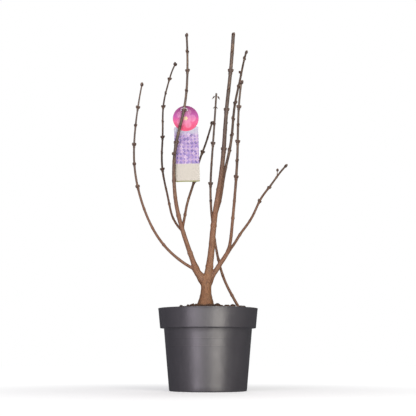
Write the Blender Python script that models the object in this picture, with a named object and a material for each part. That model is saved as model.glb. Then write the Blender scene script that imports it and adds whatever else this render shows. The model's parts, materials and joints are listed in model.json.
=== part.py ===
"""A young lilac in its nursery pot, bare in winter: pot, soil, trunk, boughs, masses of twigs and a label.

Metres, +Z up. The origin is the middle of the pot's underside. +X is to the right and -Y is the front.
Every limb is one curve from its root to its tip. The lower share of the curve is a bough, and the rest is
the stem of a mass of twigs, which branches by a seeded rule.
"""

import math
import random
from dataclasses import dataclass

import bmesh
import bpy
from mathutils import Matrix, Vector

GAP = 0.0003  # air kept between pieces that touch
SHARP_ANGLE = math.radians(40)
DRILL_SIDES = 12

# Pot: a ten- to twelve-litre container with a tall rim band.
POT_HEIGHT = 0.2355
POT_SIDES = 40
FOOT_RADIUS = 0.1115
FOOT_ROUND = 0.003
SHOULDER_RADIUS = 0.1275  # body just under the rim band
BAND_BOTTOM_RADIUS = 0.1385
RIM_RADIUS = 0.1445
BAND_BOTTOM = 0.1795
WALL = 0.0022
LIP_ROUND = 0.001
FLOOR = 0.0065
CHANNEL_DEPTH = 0.004
CHANNEL_INNER = 0.062
CHANNEL_OUTER = 0.098
DRAINS = 8
DRAIN_RADIUS = 0.007
DRAIN_CIRCLE = 0.0800

# Soil: it stands a little proud in the middle, where the trunk enters it.
SOIL_AT_WALL = 0.2275
SOIL_AT_TRUNK = 0.2450
SOIL_RINGS = 9
CLUMP = 0.0035
MOUND_FLAT = 0.02  # the level part round the trunk
MOUND_SPREAD = 0.125

# Trunk: a flared foot, a waist and a swollen fork.
TRUNK_FOOT = (-0.0068, 0.0, 0.2435)
TRUNK_TOP = (-0.0043, 0.0, 0.3245)
TRUNK_SIDES = 16
TRUNK_RINGS = 14
TRUNK_RADII = (
    (0.0, 0.0250),
    (0.15, 0.0216),
    (0.3, 0.0185),
    (0.45, 0.0158),
    (0.6, 0.0150),
    (0.75, 0.0156),
    (1.0, 0.0168),
)
FLARE_RINGS = 4
FLARE_LOBES = 5
FLARE_LOBE_DEPTH = 0.09

# Limbs and twigs.
RING_STEP = 0.022
DOME_RINGS = (35, 60, 80)  # degrees round the dome
DOME_HEIGHT = 0.8  # of its radius
BOUGH_SIDES = 9
STEM_SIDES = 6
WOBBLE = 0.0022
NODE_SPACING = (0.048, 0.066)
BUD_LENGTH = 0.0085
BUD_WIDTH = 0.0050
BUD_SIDES = 4
BUD_BELLY = 0.52  # share of the length, from the stem's axis
BUD_SPLAY = math.radians(36)
STRAY_TURN = 0.15  # how far each pair of buds turns off the square to the last pair
TIP_BUD_SPLAY = math.radians(17)
TIP_BUD_SEAT = 0.0025  # how far the end buds are sunk in
END_BUD_SIZE = 1.35  # of a limb's last two buds, over the others
HUSK_LENGTH = 0.0205
HUSK_WIDTH = 0.0055
HUSK_SPLAY = math.radians(138)
HUSK_TURN = 0.3
HUSK_TIERS = ((0.0025, 1.0), (0.038, 0.6))  # how far below the tip, and the size
HUSK_ROOM = 0.060  # the length below the tip that the husks keep free of buds
TWIG_CHANCE = 0.20
TWIG_LENGTH = (0.025, 0.075)
TWIG_SIDES = 5
TWIG_RADIUS = 0.0015
TWIG_SPLAY = math.radians(40)
TWIG_ELBOW = 0.4  # share of the length where it turns up
TWIG_STEP = 0.014
TWIG_BUD_SPACING = 0.030
TWIG_ZONE = (0.45, 0.88)  # shares of a limb's length between which side twigs grow
FIRST_BUD = 0.018  # above a bough's end
LAST_BUD = 0.022  # below a limb's tip
CLEARANCE = 0.002
ROOM_STEPS = 100
SEED = 41

# Label: a disc head on a long card, hung just behind the tall left bough.
LABEL_HEAD_RADIUS = 0.0385
LABEL_HALF_WIDTH = 0.036
LABEL_SHOULDER = 0.025  # below the middle of the head
LABEL_FOOT = 0.192  # below the middle of the head
LABEL_CORNER = 0.004
LABEL_THICKNESS = 0.0008
LABEL_CENTRE = (-0.0663, 0.7995)  # x and z of the middle of the head
LABEL_TILT = math.radians(2)
LABEL_BEHIND = 0.009  # behind the bough's axis
LABEL_HOLE_HEIGHT = 0.8265
LABEL_ROOM_STEP = 0.008
SHARE_STEP = 0.002
LABEL_HOLE_RADIUS = 0.0018
LOOP_RADIUS = 0.010
LOOP_SECTION = 0.0007
LOOP_SLOPE = math.radians(14)  # it runs down from the front of the bough to the label behind
LOOP_SIDES = 6
LOOP_STEPS = 32


@dataclass(frozen=True)
class Limb:
    """One limb: where it springs from, where it ends and how it gets there."""

    name: str
    parent: str
    tip: tuple
    leave: tuple  # the pull out of the root
    arrive: tuple  # the pull into the tip
    thick: float  # radius at the root
    thin: float  # radius at the tip
    taper: float  # how soon it thins
    bough: float  # share of the length that is bare bough
    at: float = 0.0  # share of the parent's length where the root is
    root: tuple = ()  # the root's place, on the trunk or in the soil
    droops: bool = False  # whether it ends in a hanging pair of husks


LIMBS = (
    Limb(
        "centre", parent="trunk", root=(-0.0018, 0, 0.3115), tip=(0.0742, -0.070, 1.0325),
        leave=(0.030, 0, 0.241), arrive=(0.019, -0.030, 0.273),
        thick=0.0112, thin=0.0052, taper=2.2, bough=0.5,
    ),
    Limb(
        "left", parent="trunk", root=(-0.0088, 0, 0.3115), tip=(-0.0378, -0.001, 0.3525),
        leave=(-0.010, 0, 0.012), arrive=(-0.008, 0, 0.014),
        thick=0.0106, thin=0.0094, taper=1.0, bough=1.0,
    ),
    Limb(
        "right", parent="trunk", root=(0.0002, 0, 0.3075), tip=(0.0622, -0.003, 0.4065),
        leave=(0.022, 0, 0.044), arrive=(0.016, -0.002, 0.030),
        thick=0.0084, thin=0.0060, taper=1.0, bough=1.0,
    ),
    Limb(
        "left_tall", parent="left", at=0.84, tip=(-0.0638, -0.012, 1.0505),
        leave=(-0.148, -0.020, 0.391), arrive=(-0.021, 0, 0.388),
        thick=0.0078, thin=0.0031, taper=1.6, bough=0.38,
    ),
    Limb(
        "left_outer", parent="left", at=0.86, tip=(-0.1908, -0.120, 0.8665),
        leave=(-0.174, -0.035, 0.083), arrive=(0.048, -0.030, 0.231),
        thick=0.0046, thin=0.0021, taper=1.0, bough=0.4,
    ),
    Limb(
        "left_back", parent="left_tall", at=0.168, tip=(-0.1068, 0.200, 1.0245),
        leave=(-0.078, 0.060, 0.068), arrive=(0.059, 0.045, 0.126),
        thick=0.0036, thin=0.0024, taper=1.0, bough=0.32,
    ),
    Limb(
        "left_inner", parent="left_tall", at=0.178, tip=(0.0112, 0.120, 0.8115),
        leave=(0.027, 0.055, 0.154), arrive=(0.048, 0.025, 0.166),
        thick=0.0042, thin=0.0028, taper=1.0, bough=0.32,
    ),
    Limb(
        "centre_back", parent="centre", at=0.264, tip=(0.1212, 0.170, 1.0545),
        leave=(0.043, 0.070, 0.121), arrive=(0.041, 0.040, 0.142),
        thick=0.0052, thin=0.0031, taper=1.1, bough=0.36,
    ),
    Limb(
        "right_tall", parent="right", at=0.93, tip=(0.0932, -0.190, 0.8535),
        leave=(0.029, -0.055, 0.089), arrive=(0.019, -0.060, 0.157),
        thick=0.0050, thin=0.0028, taper=1.1, bough=0.4,
    ),
    Limb(
        "right_outer", parent="right", at=0.95, tip=(0.2347, 0.080, 0.6685),
        leave=(0.068, 0.025, 0.082), arrive=(0.080, 0.025, 0.088),
        thick=0.0044, thin=0.0028, taper=1.1, bough=0.44,
    ),
    Limb(
        "low_shoot", parent="soil", root=(0.1012, 0.055, 0.2235), tip=(0.0252, 0.050, 0.8895),
        leave=(-0.110, 0.006, 0.188), arrive=(0.025, -0.004, 0.380),
        thick=0.0044, thin=0.0028, taper=1.0, bough=0.45, droops=True,
    ),
)


# ---------------------------------------------------------------- materials and small helpers


def material(name, colour, roughness):
    """A plain Principled material."""
    made = bpy.data.materials.new(name)
    made.use_nodes = True
    shader = made.node_tree.nodes["Principled BSDF"]
    shader.inputs["Base Color"].default_value = (*colour, 1.0)
    shader.inputs["Roughness"].default_value = roughness
    shader.inputs["Metallic"].default_value = 0.0
    return made


def object_from(shape, name, collection=None):
    """An object from a bmesh, with its faces turned outwards."""
    bmesh.ops.recalc_face_normals(shape, faces=shape.faces)
    mesh = bpy.data.meshes.new(name)
    shape.to_mesh(mesh)
    shape.free()
    made = bpy.data.objects.new(name, mesh)
    (collection or bpy.context.scene.collection).objects.link(made)
    return made


def remove(made):
    """Takes an object and its mesh out of the file."""
    mesh = made.data
    bpy.data.objects.remove(made)
    bpy.data.meshes.remove(mesh)


def largest_body(mesh):
    """Drops every loose scrap that a cut or a union left beside the main body."""
    shape = bmesh.new()
    shape.from_mesh(mesh)
    bmesh.ops.remove_doubles(shape, verts=shape.verts, dist=1e-6)
    left = set(shape.verts)
    bodies = []
    while left:
        reached = {left.pop()}
        edge_of = set(reached)
        while edge_of:
            near = {edge.other_vert(vert) for vert in edge_of for edge in vert.link_edges}
            edge_of = near - reached
            reached |= near
        left -= reached
        bodies.append(reached)
    main = max(bodies, key=len)
    scraps = [vert for vert in shape.verts if vert not in main]
    bmesh.ops.delete(shape, geom=scraps, context="VERTS")
    bmesh.ops.triangulate(shape, faces=shape.faces)
    shape.to_mesh(mesh)
    shape.free()


def apply_boolean(made, operation, **operand):
    """Runs one exact Boolean on an object and keeps the result as its mesh."""
    modifier = made.modifiers.new("join", "BOOLEAN")
    modifier.operation = operation
    modifier.solver = "EXACT"
    for key, value in operand.items():
        setattr(modifier, key, value)
    graph = bpy.context.evaluated_depsgraph_get()
    result = bpy.data.meshes.new_from_object(made.evaluated_get(graph))
    before = made.data
    made.modifiers.clear()
    made.data = result
    bpy.data.meshes.remove(before)
    largest_body(result)


def cut(made, cutter):
    """Cuts an object by another, which is then removed."""
    apply_boolean(made, "DIFFERENCE", object=cutter)
    remove(cutter)


def drill(made, place, radius, depth, along="Z"):
    """Cuts a round hole through an object, centred on a place and running along Z or Y."""
    shape = bmesh.new()
    turn = Matrix.Rotation(math.pi / 2, 4, "X") if along == "Y" else Matrix.Identity(4)
    bmesh.ops.create_cone(
        shape,
        cap_ends=True,
        segments=DRILL_SIDES,
        radius1=radius,
        radius2=radius,
        depth=depth,
        matrix=Matrix.Translation(place) @ turn,
    )
    cut(made, object_from(shape, "drill"))


def stitch(shape, rings):
    """Joins each ring of corners to the next with a wall; a ring of one corner is a point."""
    for low, high in zip(rings, rings[1:]):
        for corner in range(max(len(low), len(high))):
            after = (corner + 1) % max(len(low), len(high))
            if len(low) == 1:
                shape.faces.new((low[0], high[after], high[corner]))
            elif len(high) == 1:
                shape.faces.new((low[corner], low[after], high[0]))
            else:
                shape.faces.new((low[corner], low[after], high[after], high[corner]))


def circle(radius, height, sides):
    """Points round the Z axis."""
    turns = [math.tau * corner / sides for corner in range(sides)]
    return [Vector((radius * math.cos(turn), radius * math.sin(turn), height)) for turn in turns]


def finish(made, name, dressed):
    """Names the object, dresses it and shades its round faces smooth."""
    made.name = name
    made.data.name = name
    made.data.materials.clear()
    made.data.materials.append(dressed)
    made.data.shade_smooth()
    made.data.set_sharp_from_angle(angle=SHARP_ANGLE)
    return made


def smooth(share):
    """A share from 0 to 1, eased at both ends."""
    share = min(max(share, 0.0), 1.0)
    return share * share * (3 - 2 * share)


def between(table, share):
    """Reads a value from pairs of share and value, eased from one pair to the next."""
    for (low, first), (high, second) in zip(table, table[1:]):
        if share <= high:
            return first + (second - first) * smooth((share - low) / (high - low))
    return table[-1][1]


# ---------------------------------------------------------------- curves and tubes


class Path:
    """The axis of one limb, by share of its length, with its radius."""

    STEPS = 160

    def __init__(self, limb, root, seed):
        self.limb = limb
        ends = [Vector(root), Vector(root) + Vector(limb.leave)]
        ends += [Vector(limb.tip) - Vector(limb.arrive), Vector(limb.tip)]
        draw = random.Random(seed)
        self.waves = [(draw.uniform(1.2, 3.4), draw.uniform(0, math.tau)) for _ in range(3)]
        size = WOBBLE * min(1.0, (ends[3] - ends[0]).length / 0.4)
        self.spots = []
        for step in range(self.STEPS + 1):
            t = step / self.STEPS
            u = 1 - t
            spot = u**3 * ends[0] + 3 * u * u * t * ends[1] + 3 * u * t * t * ends[2] + t**3 * ends[3]
            sway = Vector([math.sin(math.tau * turns * t + phase) for turns, phase in self.waves])
            self.spots.append(spot + sway * size * smooth(t / 0.25) * smooth((1.1 - t) / 0.5))
        self.run = [0.0]
        for a, b in zip(self.spots, self.spots[1:]):
            self.run.append(self.run[-1] + (b - a).length)
        self.length = self.run[-1]

    def point(self, share):
        """The point at a share of the length; past either end the curve goes straight on."""
        wanted = share * self.length
        step = 0
        while step < self.STEPS - 1 and self.run[step + 1] < wanted:
            step += 1
        part = (wanted - self.run[step]) / (self.run[step + 1] - self.run[step])
        return self.spots[step].lerp(self.spots[step + 1], part)

    def tangent(self, share):
        """The direction of growth at a share of the length."""
        near = 0.01
        return (self.point(share + near) - self.point(share - near)).normalized()

    def radius(self, share):
        """The radius at a share of the length."""
        left = max(0.0, 1.0 - share)
        return self.limb.thin + (self.limb.thick - self.limb.thin) * left**self.limb.taper


def across(direction, turn=0.0):
    """A unit vector square to a direction, turned about it."""
    side = direction.cross(Vector((0.31, 0.95, 0.05))).normalized()
    return Matrix.Rotation(turn, 3, direction) @ side


def tube(name, spots, radii, sides, collection=None, lobes=None):
    """A closed tube through the spots, with a flat cap on each end."""
    shape = bmesh.new()
    rings = []
    heading = (spots[1] - spots[0]).normalized()
    side = across(heading)
    for index, (spot, radius) in enumerate(zip(spots, radii)):
        ahead = spots[min(index + 1, len(spots) - 1)] - spots[max(index - 1, 0)]
        turn = heading.rotation_difference(ahead.normalized())
        side = turn @ side
        heading = ahead.normalized()
        up = heading.cross(side)
        ring = []
        for corner in range(sides):
            angle = math.tau * corner / sides
            reach = radius * (lobes(index, angle) if lobes else 1.0)
            ring.append(shape.verts.new(spot + reach * (math.cos(angle) * side + math.sin(angle) * up)))
        rings.append(ring)
    stitch(shape, rings)
    shape.faces.new(tuple(reversed(rings[0])))
    shape.faces.new(tuple(rings[-1]))
    return object_from(shape, name, collection)


def stretch(path, start, end, grow=0.0, step=RING_STEP):
    """Spots and radii along a share of a path, for a tube."""
    count = max(2, round((end - start) * path.length / step))
    shares = [start + (end - start) * index / count for index in range(count + 1)]
    return [path.point(share) for share in shares], [path.radius(share) + grow for share in shares]


def domed(spots, radii):
    """The same spots and radii with three narrowing rings more, which close the far end with a dome."""
    end, radius = spots[-1], radii[-1]
    heading = (end - spots[-2]).normalized()
    turns = [math.radians(angle) for angle in DOME_RINGS]
    spots = spots + [end + heading * radius * DOME_HEIGHT * math.sin(turn) for turn in turns]
    return spots, radii + [radius * math.cos(turn) for turn in turns]


def lathe(name, outline, sides):
    """Turns an outline of radius and height pairs about Z; its first and last points lie on the axis."""
    shape = bmesh.new()
    rings = []
    for radius, height in outline:
        spots = circle(radius, height, sides) if radius else [Vector((0, 0, height))]
        rings.append([shape.verts.new(spot) for spot in spots])
    stitch(shape, rings)
    return object_from(shape, name)


# ---------------------------------------------------------------- pot and soil


def inner_wall():
    """The pot's inner wall as radius and height pairs, from the lip down to the floor."""
    body_slope = (SHOULDER_RADIUS - FOOT_RADIUS) / BAND_BOTTOM
    band_slope = (RIM_RADIUS - BAND_BOTTOM_RADIUS) / (POT_HEIGHT - BAND_BOTTOM)
    lip = RIM_RADIUS - WALL - LIP_ROUND
    return (
        (lip, POT_HEIGHT - LIP_ROUND / 2),
        (lip - LIP_ROUND / 2, POT_HEIGHT - 3 * LIP_ROUND),
        (BAND_BOTTOM_RADIUS - WALL + band_slope * WALL, BAND_BOTTOM + WALL),
        (SHOULDER_RADIUS - WALL, BAND_BOTTOM + WALL / 4),
        (FOOT_RADIUS - WALL + body_slope * FLOOR, FLOOR),
    )


def inner_radius(height):
    """The radius of the pot's inner wall at a height above its floor."""
    wall = inner_wall()
    for (high_radius, high), (low_radius, low) in zip(wall, wall[1:]):
        if height >= low:
            return low_radius + (high_radius - low_radius) * (height - low) / (high - low)
    return wall[-1][0]


def outer_wall():
    """The pot's underside and outer wall as radius and height pairs, from the middle up to the lip."""
    return (
        (0, 0),
        (CHANNEL_INNER, 0),
        (CHANNEL_INNER + FOOT_ROUND, CHANNEL_DEPTH),
        (CHANNEL_OUTER - FOOT_ROUND, CHANNEL_DEPTH),
        (CHANNEL_OUTER, 0),
        (FOOT_RADIUS - FOOT_ROUND, 0),
        (FOOT_RADIUS, FOOT_ROUND),
        (SHOULDER_RADIUS, BAND_BOTTOM - LIP_ROUND),
        (BAND_BOTTOM_RADIUS - LIP_ROUND, BAND_BOTTOM - LIP_ROUND),
        (BAND_BOTTOM_RADIUS, BAND_BOTTOM),
        (RIM_RADIUS - LIP_ROUND / 2, POT_HEIGHT - 4 * LIP_ROUND),
        (RIM_RADIUS, POT_HEIGHT - 2 * LIP_ROUND),
        (RIM_RADIUS - LIP_ROUND, POT_HEIGHT),
        (RIM_RADIUS - WALL - LIP_ROUND / 4, POT_HEIGHT),
    )


def build_pot(dressed):
    """The pot: a foot ring, a tapered body, a tall rim band, a rounded lip and drain holes."""
    pot = lathe("pot", [*outer_wall(), *inner_wall(), (0, FLOOR)], POT_SIDES)
    for place in circle(DRAIN_CIRCLE, FLOOR / 2, 2 * DRAINS)[1::2]:
        drill(pot, place, DRAIN_RADIUS, 4 * FLOOR)
    finish(pot, "pot", dressed)


def soil_height(place, draw):
    """The height of the soil's surface, mounded at the trunk and clumped away from it."""
    away = (place.xy - Vector(TRUNK_FOOT).xy).length
    mound = (SOIL_AT_TRUNK - SOIL_AT_WALL) * (1 - smooth((away - MOUND_FLAT) / MOUND_SPREAD))
    return SOIL_AT_WALL + mound + draw.uniform(-CLUMP, CLUMP) * smooth((away - MOUND_FLAT) / MOUND_FLAT)


def build_soil(dressed, feet):
    """The soil: it fills the pot to just below the rim, with a seat for each foot that stands in it."""
    draw = random.Random(SEED)
    step = BAND_BOTTOM + WALL + GAP
    narrow = inner_radius(BAND_BOTTOM + WALL / 4)
    wall = [(FLOOR + GAP, inner_radius(FLOOR) - GAP), (step, narrow - GAP)]
    wall += [(step, inner_radius(step) - 2 * GAP), (SOIL_AT_WALL, inner_radius(SOIL_AT_WALL) - GAP)]
    layers = [circle(radius, height, POT_SIDES) for height, radius in wall]
    for ring in range(SOIL_RINGS, 0, -1):
        layers.append(circle(wall[-1][1] * ring / (SOIL_RINGS + 1), 0, POT_SIDES))
        for spot in layers[-1]:
            spot.z = soil_height(spot, draw)
    layers.append([Vector((0, 0, SOIL_AT_TRUNK))])
    shape = bmesh.new()
    rings = [[shape.verts.new(spot) for spot in layer] for layer in layers]
    stitch(shape, rings)
    shape.faces.new(tuple(reversed(rings[0])))
    soil = object_from(shape, "soil")
    for foot in feet:
        cut(soil, foot)
    finish(soil, "soil", dressed)


# ---------------------------------------------------------------- trunk and boughs


def trunk_tube(name, grow=0.0):
    """The trunk: lobed at its flared foot, narrow at the waist, swollen and domed at the fork."""
    foot = Vector(TRUNK_FOOT) - Vector((0, 0, grow))
    top = Vector(TRUNK_TOP)
    shares = [index / TRUNK_RINGS for index in range(TRUNK_RINGS + 1)]
    spots = [foot.lerp(top, share) for share in shares]
    radii = [between(TRUNK_RADII, share) + grow for share in shares]
    spots, radii = domed(spots, radii)

    def lobes(index, angle):
        """How far the flare's lobes stand out of the round, at a ring and an angle."""
        low = max(0.0, 1.0 - index / FLARE_RINGS)
        return 1 + FLARE_LOBE_DEPTH * low * math.cos(FLARE_LOBES * angle)

    return tube(name, spots, radii, TRUNK_SIDES, lobes=lobes)


def bough_tube(name, path, grow=0.0):
    """A limb's bare length: domed where nothing grows on from it, and cut flat where its twigs do."""
    spots, radii = stretch(path, -grow / path.length, path.limb.bough, grow)
    if path.limb.bough == 1.0:
        spots, radii = domed(spots, radii)
    return tube(name, spots, radii, BOUGH_SIDES)


def grow_paths():
    """Every limb's path, by name, each springing from its parent's axis."""
    paths = {}
    for index, limb in enumerate(LIMBS):
        root = limb.root or paths[limb.parent].point(limb.at)
        paths[limb.name] = Path(limb, root, SEED + index)
    return paths


def neighbours(limb, earlier):
    """The earlier limbs that crowd this one's root: its parent, its sisters and its parent's sisters."""
    close = [other for other in earlier if limb.parent in (other.name, other.parent)]
    for parent in [other for other in earlier if other.name == limb.parent]:
        close += [other for other in earlier if other.parent == parent.parent and other is not parent]
    return close


def build_boughs(paths, dressed):
    """Each bough, cut clear of the trunk and of the limbs that crowd its root."""
    for index, limb in enumerate(LIMBS):
        bough = bough_tube("bough", paths[limb.name])
        if limb.parent != "soil":
            cut(bough, trunk_tube("cutter", GAP))
        for other in neighbours(limb, LIMBS[:index]):
            cut(bough, bough_tube("cutter", paths[other.name], GAP))
        finish(bough, "bough_" + limb.name, dressed)


# ---------------------------------------------------------------- twigs and buds


class Space:
    """The room that is taken, as balls along every limb and twig, so that nothing new grows into it."""

    def __init__(self):
        self.taken = []

    def take(self, owner, spot, radius):
        """Takes a ball of room for an owner."""
        self.taken.append((owner, spot, radius))

    def take_path(self, owner, path):
        """Takes the room round a limb."""
        for step in range(ROOM_STEPS + 1):
            share = step / ROOM_STEPS
            self.take(owner, path.point(share), path.radius(share))

    def is_free(self, owner, spot, radius):
        """Whether a ball keeps clear of everything that belongs to another owner."""
        for other, place, size in self.taken:
            if other != owner and (place - spot).length < radius + size + CLEARANCE:
                return False
        return True


def bud(spot, heading, length, width, collection):
    """A bud: a slim four-sided spindle, fattest just below its middle."""
    shape = bmesh.new()
    base = shape.verts.new(spot)
    tip = shape.verts.new(spot + heading * length)
    ring = []
    for corner in range(BUD_SIDES):
        out = across(heading, math.tau * corner / BUD_SIDES)
        ring.append(shape.verts.new(spot + heading * length * BUD_BELLY + out * width / 2))
    for corner in range(BUD_SIDES):
        after = (corner + 1) % BUD_SIDES
        shape.faces.new((base, ring[after], ring[corner]))
        shape.faces.new((tip, ring[corner], ring[after]))
    object_from(shape, "piece", collection)


def tilted(heading, turn, splay):
    """A direction that leans out from a heading by a splay, on the side given by a turn."""
    return (heading * math.cos(splay) + across(heading, turn) * math.sin(splay)).normalized()


def add_buds(owner, spot, heading, turn, radius, splay, collection, space, size=1.0):
    """A pair of opposite buds, each left out where there is no room for it."""
    length, width = BUD_LENGTH * size + radius, BUD_WIDTH * size
    for side in (0.0, math.pi):
        out = tilted(heading, turn + side, splay)
        if space.is_free(owner, spot + out * length * 0.75, width / 2):
            bud(spot, out, length, width, collection)
            space.take(owner, spot + out * length, 0.0)


def add_husks(owner, path, collection, space):
    """The hanging pairs of husks at a limb's tip, one of each pair to the left and one to the right."""
    for drop, size in HUSK_TIERS:
        share = 1.0 - drop / path.length
        spot, heading = path.point(share), path.tangent(share)
        for side in (0.0, math.pi):
            out = tilted(heading, HUSK_TURN + side, HUSK_SPLAY)
            bud(spot, out, HUSK_LENGTH * size, HUSK_WIDTH * size, collection)
            space.take(owner, spot + out * HUSK_LENGTH * size, 0.0)


def add_twig(owner, spot, heading, turn, length, collection, space, draw):
    """A side twig to the front or back that turns up, with buds of its own; False where it has no room."""
    out = tilted(heading, turn, TWIG_SPLAY)
    if abs(out.x) > abs(out.y):
        return False
    up = (out + Vector((0, 0, 0.9))).normalized()
    elbow = spot + out * length * TWIG_ELBOW
    ends = [spot, elbow, elbow + up * length * (1 - TWIG_ELBOW)]
    count = max(3, round(length / TWIG_STEP))
    spots = []
    for step in range(count + 1):
        t = step / count
        spots.append((1 - t) ** 2 * ends[0] + 2 * t * (1 - t) * ends[1] + t * t * ends[2])
    if not all(space.is_free(owner, place, BUD_WIDTH) for place in spots):
        return False
    radii = [TWIG_RADIUS * (1.15 - 0.35 * step / count) for step in range(count + 1)]
    tube("piece", spots, radii, TWIG_SIDES, collection)
    for place in spots:
        space.take(owner, place, TWIG_RADIUS)
    seat = spots[-1] - up * TIP_BUD_SEAT
    add_buds(owner, seat, up, draw.uniform(0, math.pi), TIP_BUD_SEAT, TIP_BUD_SPLAY, collection, space)
    spacing = max(2, round(TWIG_BUD_SPACING * count / length))
    for index in range(spacing, count - 1, spacing):
        along = (spots[index + 1] - spots[index - 1]).normalized()
        add_buds(owner, spots[index], along, turn + index, TWIG_RADIUS, BUD_SPLAY, collection, space)
    return True


def nodes_along(path, draw):
    """The shares of the length where buds stand."""
    share = draw.uniform(*NODE_SPACING) / path.length
    free = HUSK_ROOM if path.limb.droops else LAST_BUD
    while share < 1 - free / path.length:
        yield share
        share += draw.uniform(*NODE_SPACING) / path.length


def build_mass(path, dressed, space, seed):
    """One limb's twigs: its stem, a pair of buds at each node, a few side twigs and the buds at its tip."""
    name = path.limb.name
    draw = random.Random(seed)
    pieces = bpy.data.collections.new("pieces")
    bpy.context.scene.collection.children.link(pieces)
    start = path.limb.bough + GAP / path.length
    spots, radii = stretch(path, start, 1.0)
    stem = tube("stem", spots, radii, STEM_SIDES)
    turn = draw.uniform(0, math.pi)
    for share in nodes_along(path, draw):
        turn += math.pi / 2 + draw.uniform(-STRAY_TURN, STRAY_TURN)
        branches = draw.random() < TWIG_CHANCE
        length = draw.uniform(*TWIG_LENGTH) * (1.1 - share)
        side = draw.choice((0.0, math.pi))
        if share < start + FIRST_BUD / path.length:
            continue
        spot, heading = path.point(share), path.tangent(share)
        branches = branches and TWIG_ZONE[0] < share < TWIG_ZONE[1]
        if branches and add_twig(name, spot, heading, turn + side, length, pieces, space, draw):
            continue
        add_buds(name, spot, heading, turn, path.radius(share), BUD_SPLAY, pieces, space)
    if path.limb.droops:
        add_husks(name, path, pieces, space)
    else:
        seat, heading = path.point(1.0 - TIP_BUD_SEAT / path.length), path.tangent(1.0)
        turn += math.pi / 4
        add_buds(name, seat, heading, turn, TIP_BUD_SEAT, TIP_BUD_SPLAY, pieces, space, END_BUD_SIZE)
    apply_boolean(stem, "UNION", operand_type="COLLECTION", collection=pieces)
    for piece in list(pieces.objects):
        remove(piece)
    bpy.data.collections.remove(pieces)
    finish(stem, "twigs_" + name, dressed)


# ---------------------------------------------------------------- label


def label_outline():
    """The label's outline about the middle of its head: most of a circle, on a card with round corners."""
    start = -math.asin(LABEL_SHOULDER / LABEL_HEAD_RADIUS)
    across_x = LABEL_HALF_WIDTH - LABEL_CORNER
    top, bottom = -LABEL_SHOULDER - LABEL_CORNER, -LABEL_FOOT + LABEL_CORNER
    arcs = [(0, 0, LABEL_HEAD_RADIUS, start, math.pi - 2 * start, 36)]
    corners = ((-across_x, top), (-across_x, bottom), (across_x, bottom), (across_x, top))
    for quarter, (x, z) in enumerate(corners, 1):
        arcs.append((x, z, LABEL_CORNER, quarter * math.pi / 2, math.pi / 2, 4))
    points = []
    for x, z, radius, first, turn, steps in arcs:
        angles = [first + turn * step / steps for step in range(steps + 1)]
        points += [(x + radius * math.cos(angle), z + radius * math.sin(angle)) for angle in angles]
    return points


def share_at_height(path, height):
    """The share of a path's length at which it passes a height."""
    share = 0.0
    while path.point(share).z < height:
        share += SHARE_STEP
    return share


def label_place(paths):
    """The middle of the loop, which hugs the front of the bough, and the depth that the label hangs at."""
    path = paths["left_tall"]
    share = share_at_height(path, LABEL_HOLE_HEIGHT)
    grip = path.point(share)
    back = LOOP_RADIUS - LOOP_SECTION - path.radius(share) - 2 * GAP
    middle = grip + back * Vector((0, math.cos(LOOP_SLOPE), -math.sin(LOOP_SLOPE)))
    return middle, grip.y + LABEL_BEHIND


def loop_point(middle, angle):
    """A point on the middle line of the sloping loop."""
    back = Vector((0, math.cos(LOOP_SLOPE), -math.sin(LOOP_SLOPE)))
    return middle + LOOP_RADIUS * (math.cos(angle) * Vector((1, 0, 0)) + math.sin(angle) * back)


def build_label(paths, dressed, loop_dressed):
    """The label, its two holes and the loop that ties it to the bough."""
    middle, plane = label_place(paths)
    shape = bmesh.new()
    turn = Matrix.Rotation(-LABEL_TILT, 3, "Y")
    centre = Vector((LABEL_CENTRE[0], plane, LABEL_CENTRE[1]))
    sides = []
    for depth in (-LABEL_THICKNESS / 2, LABEL_THICKNESS / 2):
        spots = [centre + turn @ Vector((x, depth, z)) for x, z in label_outline()]
        sides.append([shape.verts.new(spot) for spot in spots])
    stitch(shape, sides)
    shape.faces.new(tuple(reversed(sides[0])))
    shape.faces.new(tuple(sides[1]))
    label = object_from(shape, "label")
    crossing = math.asin((plane - middle.y) / math.cos(LOOP_SLOPE) / LOOP_RADIUS)
    for angle in (crossing, math.pi - crossing):
        drill(label, loop_point(middle, angle), LABEL_HOLE_RADIUS, 10 * LABEL_THICKNESS, along="Y")
    finish(label, "label", dressed)
    finish(build_loop(middle), "label_loop", loop_dressed)


def build_loop(middle):
    """The loop: a thin closed ring that slopes down to the label."""
    shape = bmesh.new()
    rings = []
    for step in range(LOOP_STEPS):
        angle = math.tau * step / LOOP_STEPS
        spot = loop_point(middle, angle)
        out = (spot - middle).normalized()
        up = out.cross(loop_point(middle, angle + 0.1) - spot).normalized()
        ring = []
        for corner in range(LOOP_SIDES):
            turn = math.tau * corner / LOOP_SIDES
            ring.append(shape.verts.new(spot + LOOP_SECTION * (math.cos(turn) * out + math.sin(turn) * up)))
        rings.append(ring)
    stitch(shape, [*rings, rings[0]])
    return object_from(shape, "label_loop")


def keep_label_room(paths, space):
    """Takes the room round the label and its loop, so that no bud or twig grows into them."""
    middle, plane = label_place(paths)
    for step in range(LOOP_STEPS):
        space.take("label", loop_point(middle, math.tau * step / LOOP_STEPS), LOOP_SECTION)
    for row in range(int((LABEL_FOOT + LABEL_HEAD_RADIUS) / LABEL_ROOM_STEP) + 1):
        for column in range(int(2 * LABEL_HEAD_RADIUS / LABEL_ROOM_STEP) + 1):
            x = LABEL_CENTRE[0] - LABEL_HEAD_RADIUS + column * LABEL_ROOM_STEP
            z = LABEL_CENTRE[1] + LABEL_HEAD_RADIUS - row * LABEL_ROOM_STEP
            space.take("label", Vector((x, plane, z)), LABEL_ROOM_STEP / 2)


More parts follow.
